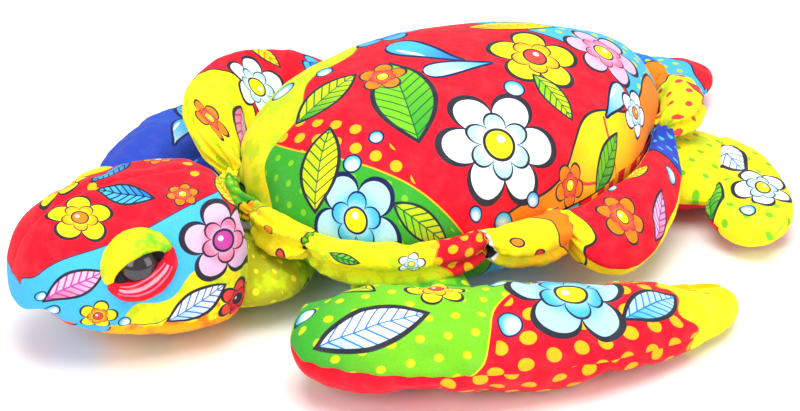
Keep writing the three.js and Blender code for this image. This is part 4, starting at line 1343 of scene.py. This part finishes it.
def lid_print(upper):
    """The upper lids are cut from a yellow and green part of the print, the lower ones from a red part,
    with pink bands painted along their tops as highlights on the plush folds.
    """
    c = Cloth("upper_lid_plush" if upper else "lower_lid_plush", yellow if upper else red)
    if upper:
        greener, yellower = c.mottle(7, bright_green, lime, 0.5), c.mottle(7, yellow, lime, 0.4)
        c.colour = c.along(c.at(), 14, 34, greener, yellower)
    else:
        c.colour = c.mottle(9, red, coral, 0.4)
        # Pink and pale pink bands along the top of each lower lid are painted highlights on its folds
        for place, width, fill in ((9.0, 0.5, pink), (12.0, 1.0, lid_highlight_pink), (15.0, 0.4, pink)):
            band = c.form("wave", c.at(24, place), 0.25, width, 37)
            c.paint(c.common(band, c.form("disc", c.at(24, place), 17, 1.0)), fill)
    return c.finish()


def lid_form(hand, upper):
    """Points, print places and the middle line of one lid, a pad that arches along the slit."""
    tilt = lid_slit * hand
    along = np.linspace(0, 1, lid_stations)
    angle = math.pi * (lid_start + (0 if upper else 1) + along * lid_span)
    turned = np.array([[0, math.cos(tilt), math.sin(tilt)], [0, -math.sin(tilt), math.cos(tilt)]])
    inner = np.stack([np.cos(angle) * lid_slit_half, np.sin(angle) * lid_slit_open], -1) @ turned
    outer = np.stack([np.cos(angle) * lid_half_length, np.sin(angle) * lid_half_breadth], -1) @ turned
    centre = (inner + outer) / 2 - np.array([lid_sink, 0, 0])
    ends = np.clip(np.minimum(along, 1 - along) / lid_end_share, lid_end_least, 1) ** 0.5
    puff = lid_puff * (lid_pinch + (1 - lid_pinch) * np.sin(math.pi * along)) * ends
    around = 2 * math.pi * np.arange(lid_sides) / lid_sides
    folds = 1
    for fold_place, sway, turns, breadth in lid_folds:
        fold_away = (around[None] - fold_place - sway * np.sin(turns * along[:, None])) / breadth
        folds = folds * (1 - lid_fold_share * np.exp(-fold_away ** 2))
    outward = np.cos(around)[None] * ends[:, None] * folds
    upward = np.sin(around)[None] * puff[:, None] * folds - outward * lid_lean
    points = centre[:, None] + ((outer - inner) / 2)[:, None] * outward[..., None]
    points = points + np.array([1, 0, 0]) * upward[..., None]
    cloth = np.zeros_like(points)
    cloth[..., 0] = run_along(centre)[:, None]
    cloth[..., 1] = (around / (2 * math.pi) * lid_girth)[None]
    return points, cloth, centre


lid_plush = {upper: lid_print(upper) for upper in (True, False)}

dome_angles = np.linspace(0, math.pi / 2, eye_dome_rows, endpoint=False)
eye_profile = [
    (eye_post_radius, -eye_rim - eye_post_length),
    (eye_post_radius, -eye_rim),
    (eye_radius - eye_edge_round, -eye_rim),
    (eye_radius, -eye_rim + eye_edge_round),
    *[(math.cos(a) * eye_radius, math.sin(a) * eye_dome) for a in dome_angles],
]
eye_angle = 2 * math.pi * np.arange(eye_columns) / eye_columns
eye_points = np.array([
    [(x, r * math.cos(a), r * math.sin(a)) for a in eye_angle] for r, x in eye_profile
])
for word, hand in (("left", 1), ("right", -1)):
    frame = eye_frame(hand)
    eye = cloth_piece(
        f"eye_dome_{word}",
        placed(eye_points, frame),
        eye_points,
        first_cap=placed([(-eye_rim - eye_post_length, 0, 0)], frame)[0],
        last_cap=placed([(eye_dome, 0, 0)], frame)[0],
    )
    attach(eye, "head")
    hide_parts(f"eye_{word}")
    eye.data.materials.append(eye_plastic)
    washer = bpy.data.objects[f"eye_washer_{word}"]
    for index in range(len(washer.material_slots)):
        washer.material_slots[index].material = washer_plastic
    for upper in (True, False):
        points, cloth, centre = lid_form(hand, upper)
        name = f"{'upper' if upper else 'lower'}_lid_{word}"
        lid = cloth_piece(
            f"{name}_pad",
            placed(points, frame),
            cloth,
            first_cap=placed(centre[:1], frame)[0],
            last_cap=placed(centre[-1:], frame)[0],
        )
        push(lid, lumps(points_of(lid), lid_crease_size, lid_crease_depth, seed=6))
        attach(lid, "head")
        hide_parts(name)
        lid.data.materials.append(lid_plush[upper])


# Flippers
# Each flipper is a flat stuffed pad of two printed panels, sewn together along its edge, which
# puckers. It hangs on a soft stuffed root, sewn to the side of the body, and flaps on it.
front_shape = dict(
    length=0.250, lead=0.073, droop=0.021, heading=1,
    reach_shares=[0.42, 0.5, 0.66, 0.84, 0.96, 0.99, 0.92, 0.77, 0.58, 0.42, 0.36],
    width_shares=[0, 0.56, 0.82, 0.96, 1, 0.97, 0.86, 0.69, 0.46, 0.25, 0],
    height_shares=[0, 0.6, 0.85, 0.98, 1, 0.98, 0.88, 0.74, 0.54, 0.33, 0],
)
rear_shape = dict(
    droop=0.004, width=0.056, rise=0.014, drop=0.015,
    width_shares=[0, 0.6, 0.9, 1, 0.94, 0.66, 0],
    height_shares=[0, 0.66, 0.95, 1, 0.95, 0.66, 0],
)
front_root = dict(length=0.062, width=0.034, thickness=0.020, shift=0.0)
swept_root = dict(length=0.080, width=0.058, thickness=0.033, shift=0.004)
trailing_root = dict(length=0.046, width=0.058, thickness=0.025, shift=0.0)
# x, y and z place the hinge, reach runs out from the body and length along it
flippers = {
    "front_left": dict(
        front_shape, root=front_root, x=0.1015, y=-0.090, z=0.031, turn=-18, hand=1,
        reach=0.041, width=0.074, rise=0.030, drop=0.029,
    ),
    "front_right": dict(
        front_shape, root=front_root, x=0.1015, y=-0.090, z=0.031, turn=-18, hand=-1,
        reach=0.036, width=0.066, rise=0.020, drop=0.023,
    ),
    "rear_left": dict(
        rear_shape, root=swept_root, x=0.060, y=0.148, z=0.020, turn=47, hand=1, heading=-1,
        length=0.104, lead=0.038, reach=0.042, reach_shares=[-0.05, 0.1, 0.24, 0.42, 0.6, 0.8, 1],
    ),
    "rear_right": dict(
        rear_shape, root=trailing_root, x=0.046, y=0.163, z=0.020, turn=65, hand=-1, heading=1,
        length=0.024, lead=0.006, reach=0.088, reach_shares=[-0.16, 0.05, 0.26, 0.46, 0.66, 0.84, 1],
    ),
}
flipper_section_power = 1.8
flipper_stations = 150
flipper_columns = 64
flap_angle = math.radians(54)
hinge_gap = 0.0002
floor_height = 0.0004
root_overlap = 0.003
root_reach = 0.012
root_end_share = 0.4
root_taper_share = 0.12
root_taper_least = 0.02
root_stations = 60
root_sides = 48
flipper_seam_depth = 0.0010
flipper_seam_width = 0.0014
flipper_pucker_depth = 0.0019
flipper_pucker_length = 0.011
flipper_seam = (flipper_seam_depth, flipper_seam_width, flipper_pucker_depth, flipper_pucker_length)
tip_seam_loss = 0.8
tip_seam_start = 0.6
flipper_seam_fade = 0.01
flipper_lump_size = 0.022
flipper_lump_depth = 0.0012
flipper_lump_fade = 0.01


def flipper_print(place, panel):
    """Each panel is cut from another part of the print. X runs along the flipper, up to its tip."""
    c = Cloth(f"flipper_plush_{place}_{panel}", green)
    if place == "front_left" and panel == "top":
        c.colour = c.along(c.at(), 5, 60, green, bright_green)
        c.dots(13, 2.3, lime, 8)
        c.field(96, -30, 236, red, 5, 70, yellow, 0.8)
        c.dots(15, 4.0, amber, 14, c.form("field", c.at(100, -30, 236), 5, length=70))
        c.field(209, 0, 268, yellow, 3, 24, orange, 0.8)
        c.leaf(42, -22, 25, 14, 0.4, white, pale_blue, blue, charcoal, 2.4, 6)
        c.leaf(30, 16, 17, 140, 0.42, lime, yellow, deep_green, charcoal, 1.5, 5)
        c.flower(75, 6, 15, 6, 10, yellow, amber, coral, charcoal, 1.6)
        c.bubble(9, -6, 5, width=0.75, turn=12)
        c.bubble(62, 32, 5)
        c.flower(146, -4, 31, 5, 16, pale_blue, sky, yellow, charcoal, 3.2)
        c.bubble(108, -22, 6.5)
        c.bubble(112, 14, 4.4)
        c.leaf(190, -14, 20, 24, 0.4, pale_blue, sky, blue, charcoal, 2.0, 5)
        c.flower(186, 20, 10, 5, 0, orange, coral, yellow, charcoal, 1.1)
        c.leaf(228, 6, 12, 160, 0.36, amber, orange, charcoal, charcoal, 1.0, 4)
    elif place == "front_left":
        c.colour = red
        c.dots(15, 3.6, amber, 10, c.form("field", c.at(70, 0, 270), 4, length=50))
        c.flower(50, -26, 24, 5, 10, white, pale_blue, yellow, charcoal, 3.2)
        c.flower(112, -24, 20, 6, 0, white, pale_blue, orange, charcoal, 2.6)
        c.leaf(160, -20, 20, 10, 0.4, sky, blue, navy, charcoal, 1.6, 5)
        c.field(209, 0, 268, yellow, 3, 24, orange, 0.8)
    elif place == "front_right":
        c.colour = c.along(c.at(), 20, 200, royal, blue)
        c.leaf(90, 8, 24, 34, 0.42, sky, pale_blue, navy, navy, 2.0, 6)
        c.flower(134, -10, 17, 5, 0, white, pale_blue, yellow, navy, 1.8)
        c.bubble(112, 22, 5)
        c.drop(56, -8, 17, 20, 0.5, sky, pale_blue, navy, 1.6)
        c.bubble(160, 14, 7)
        c.field(186, 0, 268, sky, 3, 30, navy, 1.4)
        c.dots(11, 2.2, lime, 0, c.form("field", c.at(190, 0, 268), 3, length=30))
        if panel == "bottom":
            c.field(0, 0, 0, red, 4, 60, charcoal, 1.6)
    elif place == "rear_left":
        if panel == "top":
            c.colour = c.mottle(12, lime, yellow, 0.55)
            c.dots(14, 2.0, bright_green, 20)
            c.leaf(34, -4, 22, 20, 0.42, white, pale_blue, blue, charcoal, 2.4, 6)
            c.flower(74, 10, 17, 5, 60, white, pale_blue, yellow, charcoal, 2.2)
            c.leaf(78, -22, 14, 150, 0.4, bright_green, green, deep_green, charcoal, 1.4, 5)
            c.bubble(52, -26, 3.6)
            c.bubble(96, -6, 4.2)
        else:
            c.colour = red
            c.dots(12, 2.4, amber, 15, c.form("field", c.at(40, 0, 270), 3, length=40))
            c.field(96, 0, 268, yellow, 2, 20, charcoal, 1.0)
    else:
        c.colour = sky
        c.field(78, 0, 266, red, 3, 30, navy, 1.4)
        c.field(98, 0, 266, yellow, 2, 20, orange, 0.8)
        c.dots(10, 2.0, lime, 0, c.form("field", c.at(70, 0, 86), 3, length=30))
    return c.finish()


def root_print(place):
    """A root is cut from the same part of the print as its flipper; the rear left one is red below."""
    c = Cloth(f"root_plush_{place}", green)
    if place == "rear_left":
        c.colour = c.mottle(12, lime, yellow, 0.55)
        c.dots(14, 2.0, bright_green, 20)
        height = c.nodes.vector("DOT_PRODUCT", c.flat, (0, 0, 1))
        c.colour = c.graded(height, -3, -3.5, c.colour, red)
    elif place == "rear_right":
        c.colour = sky
    elif place == "front_right":
        c.colour = royal
        c.dots(13, 2.2, sky, 20)
    else:
        c.colour = c.mottle(12, bright_green, green, 0.5)
        c.dots(13, 2.3, lime, 8)
    return c.finish()


def flipper_halves(shape):
    """The middle line of a flipper, and the rows of points of its top and bottom panels."""
    along = np.linspace(0, 1, flipper_stations)
    least = min(shape["reach_shares"])
    spine = np.zeros((flipper_stations, 3))
    spine[:, 0] = shape["reach"] * (share_at(np.asarray(shape["reach_shares"]) - least, along) + least)
    spine[:, 1] = shape["hand"] * shape["heading"] * (shape["length"] * eased(along) - shape["lead"])
    spine[:, 2] = -shape["droop"] * eased(along) ** 2
    tangent = np.gradient(spine, axis=0) * np.array([1, 1, 0])
    tangent /= np.maximum(np.linalg.norm(tangent, axis=1), 1e-9)[:, None]
    side = np.stack([tangent[:, 1], -tangent[:, 0], np.zeros(flipper_stations)], -1)
    half = shape["width"] / 2 * share_at(shape["width_shares"], along)
    fullness = share_at(shape["height_shares"], along)
    halves = {}
    for panel, first, height in (("top", 0.0, shape["rise"]), ("bottom", math.pi, shape["drop"])):
        angle = first + math.pi * (0.5 - 0.5 * np.cos(math.pi * np.linspace(0, 1, flipper_columns)))
        across = signed_power(np.cos(angle), flipper_section_power)
        up = signed_power(np.sin(angle), flipper_section_power)
        points = spine[:, None] + side[:, None] * (across[None, :, None] * half[:, None, None])
        points[..., 2] += up[None] * height * fullness[:, None]
        halves[panel] = points
    return spine, halves


def root_form(root):
    """Points of a root: a flat cushion from inside the body to a little way into its flipper."""
    across = np.linspace(-1, 1, root_stations)
    swell = np.sqrt(np.maximum(0, 1 - across ** 2 * (1 - root_end_share ** 2)))
    taper = np.clip((1 - np.abs(across)) / root_taper_share, root_taper_least, 1) ** 0.5
    around = 2 * math.pi * np.arange(root_sides) / root_sides
    outward = signed_power(np.cos(around), flipper_section_power)[None]
    upward = signed_power(np.sin(around), flipper_section_power)[None]
    low, high = root_overlap - root["width"], root_reach
    points = np.zeros((root_stations, root_sides, 3))
    points[..., 0] = (low + high) / 2 + outward * (high - low) / 2
    points[..., 1] = (root["shift"] + across * root["length"] / 2)[:, None]
    points[..., 2] = upward * (root["thickness"] / 2 * swell * taper)[:, None]
    return points


for place, shape in flippers.items():
    hand = shape["hand"]
    turn = math.radians(shape["turn"]) if hand > 0 else math.pi - math.radians(shape["turn"])
    frame = Matrix.Translation((hand * shape["x"], shape["y"], shape["z"])) @ Matrix.Rotation(turn, 4, "Z")
    spine, halves = flipper_halves(shape)
    run = run_along(spine)[:, None]
    seams = np.concatenate([halves["top"][:, 0], halves["top"][:, -1]])
    rings = np.concatenate([halves["top"], halves["bottom"]], axis=1)
    rings = stuffed(rings, seams, slack=0.05, tight=0.95, most=0.005)
    for panel, first in (("top", 0), ("bottom", flipper_columns)):
        flat = halves[panel]
        points = rings[:, first:first + flipper_columns]
        cloth = np.zeros_like(points)
        cloth[..., 0] = run
        cloth[..., 1] = run_along(flat, axis=1) - run_along(flat, axis=1)[:, -1:] / 2
        away = arc_to_edges(flat)
        depth = seam_depth(away, run, *flipper_seam)
        depth = depth * (1 - tip_seam_loss * np.clip(run / (tip_seam_start * run[-1]), 0, 1))
        lump = lumps(points, flipper_lump_size, flipper_lump_depth, seed=len(place))
        lump = lump * np.clip(away / flipper_lump_fade, 0, 1)
        inward = spine[:, None] - points
        reach = np.linalg.norm(inward, axis=-1, keepdims=True)
        sink = (depth - lump) * np.clip(reach[..., 0] / flipper_seam_fade, 0, 1)
        points = points + inward / np.maximum(reach, 1e-6) * sink[..., None]
        points[..., 0] = np.maximum(points[..., 0], hinge_gap)
        limit = (points[..., 0] - hinge_gap) * math.tan(flap_angle)
        points[..., 2] = np.clip(points[..., 2], -limit, limit)
        points[..., 2] = np.maximum(points[..., 2], floor_height - shape["z"])
        piece = cloth_piece(f"{place}_flipper_{panel}", placed(points, frame), cloth, closed=False)
        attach(piece, f"{place}_flipper")
        nodes_replaced = [f"flipper_{place}_{panel}"]
        if panel == "bottom":
            nodes_replaced.append(f"flipper_{place}_filling")
        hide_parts(*nodes_replaced)
        piece.data.materials.append(flipper_print(place, panel))
    points = root_form(shape["root"])
    pad = cloth_piece(
        f"{place}_root_pad",
        placed(points, frame),
        points[..., [1, 0, 2]],
        first_cap=placed([points[0].mean(0)], frame)[0],
        last_cap=placed([points[-1].mean(0)], frame)[0],
    )
    push(pad, lumps(points_of(pad), flipper_lump_size, flipper_lump_depth, seed=9))
    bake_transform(pad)
    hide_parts(f"flipper_{place}_root")
    pad.data.materials.append(root_print(place))
